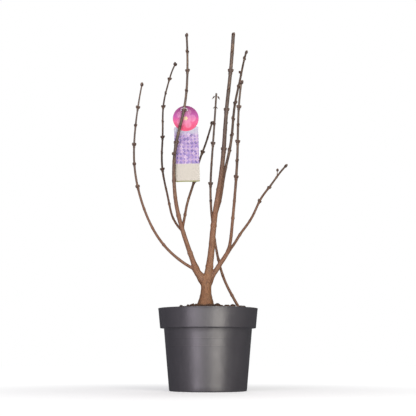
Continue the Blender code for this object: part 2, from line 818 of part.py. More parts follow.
def main():
    """Clears the scene and builds the whole plant."""
    for old in list(bpy.data.objects):
        bpy.data.objects.remove(old)
    plastic = material("pot_plastic", (0.042, 0.041, 0.046), 0.42)
    peat = material("peat", (0.075, 0.040, 0.021), 0.95)
    bark = material("trunk_bark", (0.30, 0.165, 0.090), 0.75)
    young_bark = material("bough_bark", (0.27, 0.140, 0.082), 0.65)
    twig_bark = material("twig_bark", (0.20, 0.115, 0.080), 0.60)
    card = material("label_card", (0.72, 0.36, 0.62), 0.40)
    tie = material("label_tie", (0.80, 0.80, 0.82), 0.45)

    paths = grow_paths()
    build_pot(plastic)
    feet = [trunk_tube("foot", GAP), bough_tube("foot", paths["low_shoot"], GAP)]
    build_soil(peat, feet)
    finish(trunk_tube("trunk"), "trunk", bark)
    build_boughs(paths, young_bark)
    build_label(paths, card, tie)

    space = Space()
    for name, path in paths.items():
        space.take_path(name, path)
    keep_label_room(paths, space)
    for index, limb in enumerate(LIMBS):
        if limb.bough < 1.0:
            build_mass(paths[limb.name], twig_bark, space, SEED + 100 + index)


main()
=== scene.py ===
"""A young bare lilac in a nursery pot: pot, peat, bark, twigs, buds and a hanging card label.

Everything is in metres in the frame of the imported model, with +Z up. The limbs follow the same curves and
the same seeded growth as the solids, and carry them on to the forms that are too fine for the solids.
"""

import json
import logging
import math
import random
from bisect import bisect_left
from dataclasses import dataclass, field
from enum import Enum
from typing import Callable, Iterator, Sequence

import bmesh
import bpy
import numpy as np
from mathutils import Matrix, Vector, noise
from mathutils.bvhtree import BVHTree
from mathutils.kdtree import KDTree

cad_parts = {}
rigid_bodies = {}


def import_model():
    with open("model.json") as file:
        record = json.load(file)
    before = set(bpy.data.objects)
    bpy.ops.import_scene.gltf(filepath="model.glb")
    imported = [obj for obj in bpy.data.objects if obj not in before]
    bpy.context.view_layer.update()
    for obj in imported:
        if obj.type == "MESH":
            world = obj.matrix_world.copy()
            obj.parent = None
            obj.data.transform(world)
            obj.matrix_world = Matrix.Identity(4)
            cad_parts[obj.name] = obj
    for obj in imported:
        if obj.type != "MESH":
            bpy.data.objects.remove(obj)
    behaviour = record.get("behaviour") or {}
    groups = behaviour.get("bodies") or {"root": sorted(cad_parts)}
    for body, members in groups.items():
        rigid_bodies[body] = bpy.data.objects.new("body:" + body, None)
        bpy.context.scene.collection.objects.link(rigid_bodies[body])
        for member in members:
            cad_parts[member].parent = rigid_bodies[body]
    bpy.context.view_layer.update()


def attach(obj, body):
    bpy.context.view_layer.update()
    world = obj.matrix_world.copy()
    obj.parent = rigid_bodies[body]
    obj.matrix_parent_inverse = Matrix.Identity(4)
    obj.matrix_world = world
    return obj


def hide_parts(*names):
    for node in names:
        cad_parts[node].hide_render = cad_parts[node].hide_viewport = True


LOG = logging.getLogger("lilac")
BODY = "root"
LIMB_SHIFT = 0.731  # sets the bark of one limb apart from the next
TWIG_SHIFT = 0.157
Pair = tuple[float, float]
Colour = tuple[float, float, float]
Place = tuple[float, float, float]
Faces = list[tuple[int, ...]]
Form = tuple[list[Vector], Faces]
Mesh = bpy.types.Mesh
Finish = bpy.types.Material
Piece = bpy.types.Object
Socket = bpy.types.NodeSocket


# ---- shared tools


def smooth(share: float) -> float:
    """Eases a share from 0 to 1 at both ends."""
    share = min(max(share, 0.0), 1.0)
    return share * share * (3 - 2 * share)


def across(direction: Vector, turn: float = 0.0) -> Vector:
    """Finds a unit vector square to a direction and turned about it, in radians."""
    side = direction.cross(Vector((0.31, 0.95, 0.05))).normalized()
    return Matrix.Rotation(turn, 3, direction) @ side


def tilted(heading: Vector, turn: float, splay: float) -> Vector:
    """Leans a unit direction out from a heading by a splay, to the side of a turn about it, in radians."""
    return (heading * math.cos(splay) + across(heading, turn) * math.sin(splay)).normalized()


def turns(sides: int) -> list[float]:
    """Lists the turns of a ring's vertices, in radians."""
    return [math.tau * corner / sides for corner in range(sides)]


def polar(radius: float, turn: float, height: float = 0.0) -> Vector:
    """Gives the point at a radius and a turn about the Z axis."""
    return Vector((radius * math.cos(turn), radius * math.sin(turn), height))


def circle(radius: float, height: float, sides: int) -> list[Vector]:
    """Lists points round the Z axis."""
    return [polar(radius, turn, height) for turn in turns(sides)]


def ring(middle: Vector, side: Vector, up: Vector, reach: float, sides: int) -> list[Vector]:
    """Lists points round a middle in the plane of two unit vectors."""
    return [middle + reach * (math.cos(turn) * side + math.sin(turn) * up) for turn in turns(sides)]


def arc(centre: Pair, radius: float, first: float, last: float, steps: int) -> list[Pair]:
    """Lists points, as pairs, on an arc of so many chords from its first to its last angle, in degrees."""
    angles = [math.radians(first + (last - first) * step / steps) for step in range(steps + 1)]
    return [(centre[0] + radius * math.cos(a), centre[1] + radius * math.sin(a)) for a in angles]


def fractal(place: Vector, octaves: int = 3) -> float:
    """Reads layered noise at a place, from about -1 to 1."""
    return noise.fractal(place, 1.0, 2.0, octaves)


def shade(colour: Colour, share: float) -> Colour:
    """Gives a colour's darker or lighter shade."""
    return tuple(share * part for part in colour)


def around(sides: int) -> list[tuple[int, int]]:
    """Lists each corner of a ring with the one after it."""
    return [(corner, (corner + 1) % sides) for corner in range(sides)]


def ring_faces(rings: int, sides: int) -> Faces:
    """Lists the faces of a tube whose rings of vertices follow each other, with a fan at each end.

    Args:
        rings: how many rings there are, between the first vertex and the last one, the fans' middles.
        sides: how many vertices a ring has.

    Returns:
        The faces.
    """
    faces: Faces = []
    for low in range(1, 1 + (rings - 1) * sides, sides):
        high = low + sides
        faces += [(low + a, low + b, high + b, high + a) for a, b in around(sides)]
    last = 1 + rings * sides
    for a, b in around(sides):
        faces += [(0, 1 + b, 1 + a), (last, last - sides + a, last - sides + b)]
    return faces


def shell_faces(rows: int, columns: int) -> Faces:
    """Lists the faces of a thin closed shell whose back and front are alike grids of vertices.

    Args:
        rows: how many rows of vertices a grid has.
        columns: how many vertices a row has.

    Returns:
        The faces: those of both grids by turns, and then the rim's.
    """
    back = rows * columns
    faces: Faces = []
    for row in range(rows - 1):
        for a in range(row * columns, (row + 1) * columns - 1):
            b, c, d = a + 1, a + 1 + columns, a + columns
            faces += [(a, b, c, d), (back + b, back + a, back + d, back + c)]
    border = list(range(columns))
    border += [row * columns + columns - 1 for row in range(1, rows)]
    border += [(rows - 1) * columns + column for column in range(columns - 2, -1, -1)]
    border += [row * columns for row in range(rows - 2, 0, -1)]
    ahead = border[1:] + border[:1]
    return faces + [(there, here, back + here, back + there) for here, there in zip(border, ahead)]


def tube(spots: Sequence[Vector], radii: Sequence[float], sides: int) -> Form:
    """Makes a plain closed tube.

    Args:
        spots: the middle line.
        radii: the radius at each spot.
        sides: how many sides it has.

    Returns:
        Its vertices and its faces.
    """
    heading = (spots[1] - spots[0]).normalized()
    side = across(heading)
    made = [spots[0].copy()]
    for index, (spot, radius) in enumerate(zip(spots, radii)):
        ahead = (spots[min(index + 1, len(spots) - 1)] - spots[max(index - 1, 0)]).normalized()
        side = heading.rotation_difference(ahead) @ side
        heading = ahead
        made += ring(spot, side, heading.cross(side), radius, sides)
    made.append(spots[-1].copy())
    return made, ring_faces(len(spots), sides)


def mesh_of(spots: Sequence[Vector], faces: Faces) -> Mesh:
    """Makes a mesh of vertices and faces."""
    mesh = bpy.data.meshes.new("piece")
    mesh.from_pydata(spots, [], faces)
    return mesh


def keep_values(mesh: Mesh, name: str, values: Sequence) -> None:
    """Keeps a number or a vector for each vertex on a mesh, for its material to read.

    Args:
        mesh: the mesh to write to.
        name: what the values are called.
        values: one for each vertex.
    """
    if isinstance(values[0], Vector):
        kind, part, values = "FLOAT_VECTOR", "vector", [number for value in values for number in value]
    else:
        kind, part = "FLOAT", "value"
    mesh.attributes.new(name, kind, "POINT").data.foreach_set(part, values)


class Gatherer:
    """Gathers many small closed forms into one mesh, with a finish for each face."""

    def __init__(self) -> None:
        """Starts with nothing gathered."""
        self.spots: list[Vector] = []
        self.faces: Faces = []
        self.finishes: list[int] = []

    def add(self, spots: Sequence[Vector], faces: Faces, finish: int = 0) -> None:
        """Adds one form.

        Args:
            spots: its vertices.
            faces: its faces, as indices into its own vertices.
            finish: which of the piece's finishes its faces take.
        """
        first = len(self.spots)
        self.spots.extend(spots)
        self.faces.extend(tuple(first + corner for corner in face) for face in faces)
        self.finishes.extend([finish] * len(faces))

    def mesh(self) -> Mesh:
        """Makes the mesh of all that was gathered."""
        made = mesh_of(self.spots, self.faces)
        made.polygons.foreach_set("material_index", self.finishes)
        return made


def put_thing(name: str, data: bpy.types.ID) -> Piece:
    """Makes an object and puts it in the scene."""
    thing = bpy.data.objects.new(name, data)
    bpy.context.scene.collection.objects.link(thing)
    return thing


def put_piece(
    name: str, mesh: Mesh, finishes: list[Finish], replaced: Sequence[str] = (), sharp: float = 50
) -> Piece:
    """Puts a piece in the scene, dressed and carried by the plant's body.

    Args:
        name: the piece's name.
        mesh: its mesh.
        finishes: its materials, in the order that its faces count them.
        replaced: the solid nodes that it stands for.
        sharp: the angle in degrees past which its edges stay sharp.

    Returns:
        The piece.
    """
    piece = put_thing(name, mesh)
    mesh.name = name
    for finish in finishes:
        mesh.materials.append(finish)
    mesh.shade_smooth()
    mesh.set_sharp_from_angle(angle=math.radians(sharp))
    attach(piece, BODY)
    if replaced:
        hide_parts(*replaced)
    mesh.calc_loop_triangles()
    LOG.info("%s: %d triangles", name, len(mesh.loop_triangles))
    return piece


def aim_thing(thing: Piece, place: Sequence[float], target: Sequence[float]) -> None:
    """Stands a lamp or the camera at a place and turns it to a target."""
    thing.location = place
    thing.rotation_mode = "QUATERNION"
    thing.rotation_quaternion = (Vector(target) - thing.location).to_track_quat("-Z", "Y")


# ---- finishes


class Nodes:
    """A tree of shader nodes under construction."""

    def __init__(self, tree: bpy.types.NodeTree) -> None:
        """Keeps the tree."""
        self.tree = tree

    def feed(self, socket: Socket, value: object) -> None:
        """Links a socket to another, or sets it to a plain value; a colour becomes an opaque one."""
        if isinstance(value, Socket):
            self.tree.links.new(value, socket)
        else:
            socket.default_value = (*value, 1.0) if socket.type == "RGBA" else value

    def add(self, kind: str, inputs: dict | None = None, **settings: object) -> bpy.types.Node:
        """Adds a node.

        Args:
            kind: the node's type, without its prefix.
            inputs: what its sockets are fed, by their names or numbers.
            settings: the node's properties.

        Returns:
            The node.
        """
        node = self.tree.nodes.new("ShaderNode" + kind)
        for name, value in settings.items():
            setattr(node, name, value)
        for name, value in (inputs or {}).items():
            self.feed(node.inputs[name], value)
        return node


class Shader(Nodes):
    """A material's nodes, with a short method for each kind that it uses."""

    def __init__(self, name: str) -> None:
        """Starts a material with one surface shader."""
        self.material = bpy.data.materials.new(name)
        self.material.use_nodes = True
        super().__init__(self.material.node_tree)

    def put(self, **values: object) -> Finish:
        """Feeds the surface's sockets, named with underscores for spaces, and gives the material."""
        for name, value in values.items():
            self.feed(self.tree.nodes["Principled BSDF"].inputs[name.replace("_", " ")], value)
        return self.material

    def places(self) -> Socket:
        """Gives each point's place in the object, in metres."""
        return self.add("TexCoord").outputs["Object"]

    def kept(self, name: str, output: str = "Vector") -> Socket:
        """Gives a value that the mesh keeps for each vertex."""
        return self.add("Attribute", attribute_name=name).outputs[output]

    def parts(self, vector: Socket) -> tuple[Socket, Socket]:
        """Gives the X and the Y of a vector."""
        outputs = self.add("SeparateXYZ", {0: vector}).outputs
        return outputs[0], outputs[1]

    def vectors(self, operation: str, first: Socket, second: object) -> Socket:
        """Does a sum on two vectors."""
        return self.add("VectorMath", {0: first, 1: second}, operation=operation).outputs["Vector"]

    def sums(self, operation: str, first: object, second: object = 0.0) -> Socket:
        """Does a sum on two numbers."""
        return self.add("Math", {0: first, 1: second}, operation=operation).outputs[0]

    def times(self, first: object, second: object) -> Socket:
        """Multiplies two numbers."""
        return self.sums("MULTIPLY", first, second)

    def noise(self, vector: Socket, scale: float, detail: float = 3.0, rough: float = 0.5) -> Socket:
        """Gives noise from 0 to 1: its features in a metre, its finer layers and how strong they are."""
        inputs = {"Vector": vector, "Scale": scale, "Detail": detail, "Roughness": rough}
        return self.add("TexNoise", inputs).outputs["Fac"]

    def between(
        self, value: object, low: float, high: float, to_low: float = 0.0, to_high: float = 1.0
    ) -> Socket:
        """Eases a value from the range of low to high to the range of to_low to to_high."""
        inputs = {"Value": value, "From Min": low, "From Max": high, "To Min": to_low, "To Max": to_high}
        return self.add("MapRange", inputs, interpolation_type="SMOOTHSTEP").outputs["Result"]

    def blend(self, share: object, first: object, second: object) -> Socket:
        """Blends two colours, by the share of the second."""
        return self.add("Mix", {0: share, 6: first, 7: second}, data_type="RGBA").outputs[2]

    def steps(self, value: Socket, *stops: tuple[float, Colour]) -> Socket:
        """Turns a value into a colour.

        Args:
            value: the value's socket.
            stops: pairs of a value from 0 to 1 and its colour, the lowest and the highest one first.

        Returns:
            The colour's socket.
        """
        node = self.add("ValToRGB", {0: value})
        ramp = node.color_ramp.elements
        for index, (place, colour) in enumerate(stops):
            stop = ramp[index] if index < 2 else ramp.new(place)
            stop.position = place
            stop.color = (*colour, 1.0)
        return node.outputs[0]

    def raised(self, height: Socket, depth: float, strength: float, over: Socket | None = None) -> Socket:
        """Bumps the surface by a depth where the height is 1, over a coarser bump if there is one."""
        inputs = {"Height": height, "Distance": depth, "Strength": strength}
        return self.add("Bump", inputs if over is None else inputs | {"Normal": over}).outputs["Normal"]


@dataclass(frozen=True)
class MouldedPlastic:
    """Satin moulded plastic, with a fine skin, faint flow marks and a little dust."""

    name: str = "charcoal_moulded_plastic"
    colour: Colour = (0.031, 0.029, 0.034)
    dust: Colour = (0.105, 0.090, 0.078)
    roughness: float = 0.40

    def material(self) -> Finish:
        """Makes the material."""
        shader = Shader(self.name)
        place = shader.places()
        flow = shader.noise(shader.vectors("MULTIPLY", place, (1.0, 1.0, 0.12)), 55.0, 4.0, 0.55)
        cloud = shader.noise(place, 22.0, 4.0, 0.6)
        grit = shader.noise(place, 1400.0, 2.0, 0.6)
        specks = shader.between(shader.noise(place, 420.0, 3.0, 0.7), 0.66, 0.78)
        dusty = shader.times(specks, shader.between(cloud, 0.45, 0.70))
        tone = shader.blend(shader.between(flow, 0.3, 0.7), self.colour, shade(self.colour, 1.16))
        return shader.put(
            Base_Color=shader.blend(shader.times(dusty, 0.55), tone, self.dust),
            Roughness=shader.between(cloud, 0.25, 0.75, self.roughness - 0.05, self.roughness + 0.06),
            Normal=shader.raised(grit, 0.00012, 0.35, shader.raised(flow, 0.0008, 0.18)),
            IOR=1.50,
            Specular_IOR_Level=1.0,
        )


@dataclass(frozen=True)
class Peat:
    """Damp crumbly peat."""

    name: str = "damp_peat"
    dark: Colour = (0.030, 0.015, 0.009)
    light: Colour = (0.115, 0.058, 0.030)

    def material(self) -> Finish:
        """Makes the material."""
        shader = Shader(self.name)
        place = shader.places()
        crumbs = shader.noise(place, 260.0, 6.0, 0.65)
        damp = shader.noise(place, 34.0, 3.0, 0.5)
        grains = shader.add("TexVoronoi", {"Vector": place, "Scale": 620.0}).outputs["Distance"]
        tone = shader.blend(shader.between(crumbs, 0.35, 0.68), self.dark, self.light)
        return shader.put(
            Base_Color=shader.blend(shader.between(damp, 0.40, 0.65, 0.0, 0.45), tone, self.dark),
            Roughness=shader.between(damp, 0.35, 0.65, 0.96, 0.80),
            Normal=shader.raised(grains, 0.0007, 0.6, shader.raised(crumbs, 0.0025, 0.8)),
        )


@dataclass(frozen=True)
class Mottled:
    """A matter of two close tones in a fine mottle, here with the close scales of a winter bud."""

    name: str
    first: Colour
    second: Colour
    roughness: float = 0.52
    mottle: tuple[float, ...] = (800.0, 3.0, 0.6)  # scale, layers and roughness of the mottle
    span: Pair = (0.40, 0.70)  # the values between which the tone turns
    grain: tuple[float, ...] = (2600.0, 2.0)  # scale, layers and roughness of the bump
    relief: Pair = (0.0002, 0.4)  # depth and strength of the bump

    def material(self) -> Finish:
        """Makes the material."""
        shader = Shader(self.name)
        mottle, grain = (shader.noise(shader.places(), *layer) for layer in (self.mottle, self.grain))
        return shader.put(
            Base_Color=shader.blend(shader.between(mottle, *self.span), self.first, self.second),
            Roughness=self.roughness,
            Normal=shader.raised(grain, *self.relief),
        )


def dry_matter(name: str, colour: Colour) -> Finish:
    """Makes the finish of dry fibres, scars or pores."""
    layers = (900.0, 3.0, 0.6), (0.35, 0.65), (900.0, 3.0, 0.6), (0.0003, 0.5)
    return Mottled(name, shade(colour, 0.62), colour, 0.85, *layers).material()


def plain_plastic(name: str, colour: Colour, roughness: float) -> Finish:
    """Makes the finish of smooth plain plastic or card."""
    layers = (120.0, 3.0), (0.3, 0.7), (900.0, 2.0), (0.0001, 0.3)
    return Mottled(name, colour, shade(colour, 0.93), roughness, *layers).material()


@dataclass(frozen=True)
class LilacBark:
    """Thin lilac bark: warm brown and finely fissured on old wood, with painted shade in its fissures, smooth
    and greyer on new wood.
    """

    name: str = "lilac_bark"
    old: Colour = (0.240, 0.112, 0.050)
    middle: Colour = (0.185, 0.083, 0.043)
    young: Colour = (0.072, 0.041, 0.027)
    new: Colour = (0.068, 0.047, 0.035)
    # painted shade: the dark brown laid into the low parts of the fissure and fibre bumps, where shade would
    # fall
    crevice_shade: Colour = (0.055, 0.026, 0.015)
    ash: Colour = (0.270, 0.170, 0.098)

    def material(self) -> Finish:
        """Makes the material."""
        shader = Shader(self.name)
        grain, age = shader.kept("grain"), shader.kept("age", "Fac")
        along = shader.vectors("MULTIPLY", grain, (1.0, 1.0, 0.13))
        fibres = shader.noise(along, 900.0, 4.0, 0.62)
        fissures = shader.noise(along, 330.0, 5.0, 0.60)
        rings = shader.noise(shader.vectors("MULTIPLY", grain, (0.10, 0.10, 1.0)), 620.0, 3.0, 0.55)
        cloud = shader.noise(shader.places(), 46.0, 4.0, 0.6)
        tone = shader.steps(age, (0.0, self.old), (1.0, self.new), (0.35, self.middle), (0.76, self.young))
        tone = shader.blend(shader.between(cloud, 0.42, 0.72, 0.0, 0.34), tone, self.ash)
        # painted shade between the fibres: the low parts of the fibre bump are darkened towards the dark
        # brown
        tone = shader.blend(shader.between(fibres, 0.30, 0.72, 0.30, 0.0), tone, self.crevice_shade)
        # painted shade in the fissures on old wood: the low parts of the fissure bump are darkened towards
        # the dark brown
        crack_shade = shader.times(shader.between(fissures, 0.47, 0.34), shader.between(age, 0.75, 0.05))
        relief = shader.raised(fissures, 0.0016, 0.55)
        return shader.put(
            Base_Color=shader.blend(shader.times(crack_shade, 0.75), tone, self.crevice_shade),
            Roughness=shader.between(age, 0.0, 1.0, 0.74, 0.50),
            Normal=shader.raised(fibres, 0.0005, 0.40, shader.raised(rings, 0.0004, 0.30, relief)),
        )


# ---- the growth of the plant


@dataclass(frozen=True)
class Limb:
    """One limb: where it springs from, where it ends and how it gets there."""

    name: str
    parent: str
    tip: Place
    leave: Place  # the pull out of the root
    arrive: Place  # the pull into the tip
    thick: float  # radius at the root
    thin: float  # radius at the tip
    taper: float  # how soon it thins
    bough: float  # share of the length that is bare bough
    at: float = 0.0  # share of the parent's length where the root is
    root: tuple[float, ...] = ()  # the root's place, on the trunk or in the soil
    droops: bool = False  # whether it ends in a hanging pair of husks


LIMBS = (
    Limb(
        "centre", "trunk", (0.0742, -0.070, 1.0325), (0.030, 0, 0.241), (0.019, -0.030, 0.273),
        0.0112, 0.0052, 2.2, 0.5, root=(-0.0018, 0, 0.3115),
    ),
    Limb(
        "left", "trunk", (-0.0378, -0.001, 0.3525), (-0.010, 0, 0.012), (-0.008, 0, 0.014),
        0.0106, 0.0094, 1.0, 1.0, root=(-0.0088, 0, 0.3115),
    ),
    Limb(
        "right", "trunk", (0.0622, -0.003, 0.4065), (0.022, 0, 0.044), (0.016, -0.002, 0.030),
        0.0084, 0.0060, 1.0, 1.0, root=(0.0002, 0, 0.3075),
    ),
    Limb(
        "left_tall", "left", (-0.0638, -0.012, 1.0505), (-0.148, -0.020, 0.391), (-0.021, 0, 0.388),
        0.0078, 0.0031, 1.6, 0.38, at=0.84,
    ),
    Limb(
        "left_outer", "left", (-0.1908, -0.120, 0.8665), (-0.174, -0.035, 0.083), (0.048, -0.030, 0.231),
        0.0046, 0.0021, 1.0, 0.4, at=0.86,
    ),
    Limb(
        "left_back", "left_tall", (-0.1068, 0.200, 1.0245), (-0.078, 0.060, 0.068), (0.059, 0.045, 0.126),
        0.0036, 0.0024, 1.0, 0.32, at=0.168,
    ),
    Limb(
        "left_inner", "left_tall", (0.0112, 0.120, 0.8115), (0.027, 0.055, 0.154), (0.048, 0.025, 0.166),
        0.0042, 0.0028, 1.0, 0.32, at=0.178,
    ),
    Limb(
        "centre_back", "centre", (0.1212, 0.170, 1.0545), (0.043, 0.070, 0.121), (0.041, 0.040, 0.142),
        0.0052, 0.0031, 1.1, 0.36, at=0.264,
    ),
    Limb(
        "right_tall", "right", (0.0932, -0.190, 0.8535), (0.029, -0.055, 0.089), (0.019, -0.060, 0.157),
        0.0050, 0.0028, 1.1, 0.4, at=0.93,
    ),
    Limb(
        "right_outer", "right", (0.2347, 0.080, 0.6685), (0.068, 0.025, 0.082), (0.080, 0.025, 0.088),
        0.0044, 0.0028, 1.1, 0.44, at=0.95,
    ),
    Limb(
        "low_shoot", "soil", (0.0252, 0.050, 0.8895), (-0.110, 0.006, 0.188), (0.025, -0.004, 0.380),
        0.0044, 0.0028, 1.0, 0.45, root=(0.1012, 0.055, 0.2235), droops=True,
    ),
)


class Path:
    """The axis of one limb, by share of its length, with its radius."""

    STEPS = 160
    WOBBLE = 0.0022

    def __init__(self, limb: Limb, root: Sequence[float], seed: int) -> None:
        """Lays out a limb's axis.

        Args:
            limb: the limb.
            root: where it springs from.
            seed: the seed of its sway.
        """
        self.limb = limb
        ends = [Vector(root), Vector(root) + Vector(limb.leave)]
        ends += [Vector(limb.tip) - Vector(limb.arrive), Vector(limb.tip)]
        draw = random.Random(seed)
        self.waves = [(draw.uniform(1.2, 3.4), draw.uniform(0, math.tau)) for _ in range(3)]
        size = self.WOBBLE * min(1.0, (ends[3] - ends[0]).length / 0.4)
        self.spots: list[Vector] = []
        for step in range(self.STEPS + 1):
            t = step / self.STEPS
            u = 1 - t
            spot = u**3 * ends[0] + 3 * u * u * t * ends[1] + 3 * u * t * t * ends[2] + t**3 * ends[3]
            sway = Vector([math.sin(math.tau * rate * t + phase) for rate, phase in self.waves])
            self.spots.append(spot + sway * size * smooth(t / 0.25) * smooth((1.1 - t) / 0.5))
        self.run = [0.0]
        for a, b in zip(self.spots, self.spots[1:]):
            self.run.append(self.run[-1] + (b - a).length)
        self.length = self.run[-1]

    def point(self, share: float) -> Vector:
        """Gives the point at a share of the length; past either end the curve goes straight on."""
        wanted = share * self.length
        step = bisect_left(self.run, wanted, 1, self.STEPS) - 1
        part = (wanted - self.run[step]) / (self.run[step + 1] - self.run[step])
        return self.spots[step].lerp(self.spots[step + 1], part)

    def tangent(self, share: float) -> Vector:
        """Gives the direction of growth at a share of the length."""
        near = 0.01
        return (self.point(share + near) - self.point(share - near)).normalized()

    def radius(self, share: float) -> float:
        """Gives the radius at a share of the length."""
        left = max(0.0, 1.0 - share)
        return self.limb.thin + (self.limb.thick - self.limb.thin) * left**self.limb.taper

    def share_at_height(self, height: float) -> float:
        """Gives the share of the length at which the limb passes a height."""
        share = 0.0
        while self.point(share).z < height:
            share += 0.002
        return share


@dataclass(frozen=True)
class Trunk:
    """The trunk: lobed at its flared foot, narrow at the waist and swollen at the fork."""

    foot: Place = (-0.0068, 0.0, 0.2435)
    top: Place = (-0.0043, 0.0, 0.3245)
    radii: tuple[Pair, ...] = (  # share of the height, and radius
        (0.0, 0.0250), (0.15, 0.0216), (0.3, 0.0185), (0.45, 0.0158),
        (0.6, 0.0150), (0.75, 0.0156), (1.0, 0.0168),
    )
    lobes: int = 5
    lobe_depth: float = 0.09
    lobe_share: float = 0.4  # of the height, over which the lobes die out
    dome: float = 0.8  # the top's height over its radius

    def radius(self, share: float) -> float:
        """Gives the radius at a share of the height."""
        for (low, first), (high, second) in zip(self.radii, self.radii[1:]):
            if share <= high:
                return first + (second - first) * smooth((share - low) / (high - low))
        return self.radii[-1][1]

    def point(self, share: float) -> Vector:
        """Gives the point of the axis at a share of the height."""
        return Vector(self.foot).lerp(Vector(self.top), share)

    def heading(self) -> Vector:
        """Gives the axis's direction."""
        return (Vector(self.top) - Vector(self.foot)).normalized()

    def tube(self, rings: int, sides: int) -> Form:
        """Makes the trunk's form.

        Args:
            rings: how many rings it has up its height.
            sides: how many sides it has.

        Returns:
            Its vertices and faces.
        """
        heading = self.heading()
        side, up = across(heading), heading.cross(across(heading))
        levels = [(self.point(i / rings), self.radius(i / rings), i / rings) for i in range(rings + 1)]
        for turn in range(15, 90, 15):
            angle = math.radians(turn)
            rise = heading * self.radii[-1][1] * self.dome * math.sin(angle)
            levels.append((Vector(self.top) + rise, self.radii[-1][1] * math.cos(angle), 1.0))
        made = [Vector(self.foot)]
        for spot, radius, share in levels:
            low = max(0.0, 1.0 - share / self.lobe_share)
            for angle in turns(sides):
                reach = radius * (1 + self.lobe_depth * low * math.cos(self.lobes * angle))
                made.append(spot + reach * (math.cos(angle) * side + math.sin(angle) * up))
        made.append(levels[-1][0] + heading * 0.0003)
        return made, ring_faces(len(levels), sides)


class BudKind(Enum):
    """Where a bud stands."""

    SIDE = "on the side of a stem"
    TWIG_END = "at the end of a side twig"
    END = "at a limb's tip"
    HUSK = "hanging at a limb's tip"


@dataclass(frozen=True)
class Bud:
    """One bud, from the middle of its stem."""

    spot: Vector
    heading: Vector
    stem: Vector  # the stem's own direction
    length: float
    radius: float  # of the stem
    kind: BudKind


@dataclass
class Shoot:
    """A side twig."""

    spots: list[Vector]
    radii: list[float]
    nodes: list[tuple[int, float]] = field(default_factory=list)  # index of the spot, and the buds' turn


@dataclass
class Crop:
    """What grows on one limb."""

    nodes: list[Pair] = field(default_factory=list)  # share of the length, and the buds' turn
    buds: list[Bud] = field(default_factory=list)
    shoots: list[Shoot] = field(default_factory=list)


class Space:
    """The room that is taken, as balls along every limb and twig, so that nothing new grows into it."""

    STEPS = 100
    CLEARANCE = 0.002

    def __init__(self) -> None:
        """Starts with nothing taken."""
        self.taken: list[tuple[str, Vector, float]] = []

    def take(self, owner: str, spot: Vector, radius: float) -> None:
        """Takes a ball of room for an owner."""
        self.taken.append((owner, spot, radius))

    def take_path(self, owner: str, path: Path) -> None:
        """Takes the room round a limb."""
        for step in range(self.STEPS + 1):
            share = step / self.STEPS
            self.take(owner, path.point(share), path.radius(share))

    def is_free(self, owner: str, spot: Vector, radius: float) -> bool:
        """Tells whether a ball keeps clear of everything that belongs to another owner."""
        for other, place, size in self.taken:
            if other != owner and (place - spot).length < radius + size + self.CLEARANCE:
                return False
        return True


@dataclass(frozen=True)
class GrowthRule:
    """The sizes of the rule by which the limbs branch and bud, the same that grew the solids."""

    seed: int = 41
    gap: float = 0.0003
    node_spacing: Pair = (0.048, 0.066)
    bud_length: float = 0.0085
    bud_width: float = 0.0050
    bud_splay: float = math.radians(36)
    stray_turn: float = 0.15
    tip_bud_splay: float = math.radians(17)
    tip_bud_seat: float = 0.0025
    end_bud_size: float = 1.35  # of a limb's last two buds, over the others
    husk_length: float = 0.0205
    husk_splay: float = math.radians(138)
    husk_turn: float = 0.3
    husk_tiers: tuple[Pair, ...] = ((0.0025, 1.0), (0.038, 0.6))  # drop and size
    husk_room: float = 0.060  # the length below the tip that the husks keep free of buds
    twig_chance: float = 0.20
    twig_length: Pair = (0.025, 0.075)
    twig_radius: float = 0.0015
    twig_splay: float = math.radians(40)
    twig_elbow: float = 0.4
    twig_step: float = 0.014
    twig_bud_spacing: float = 0.030
    twig_zone: Pair = (0.45, 0.88)
    first_bud: float = 0.018
    last_bud: float = 0.022

    def paths(self) -> dict[str, Path]:
        """Lays out every limb's path, by name, each springing from its parent's axis."""
        paths: dict[str, Path] = {}
        for index, limb in enumerate(LIMBS):
            root = limb.root or paths[limb.parent].point(limb.at)
            paths[limb.name] = Path(limb, root, self.seed + index)
        return paths


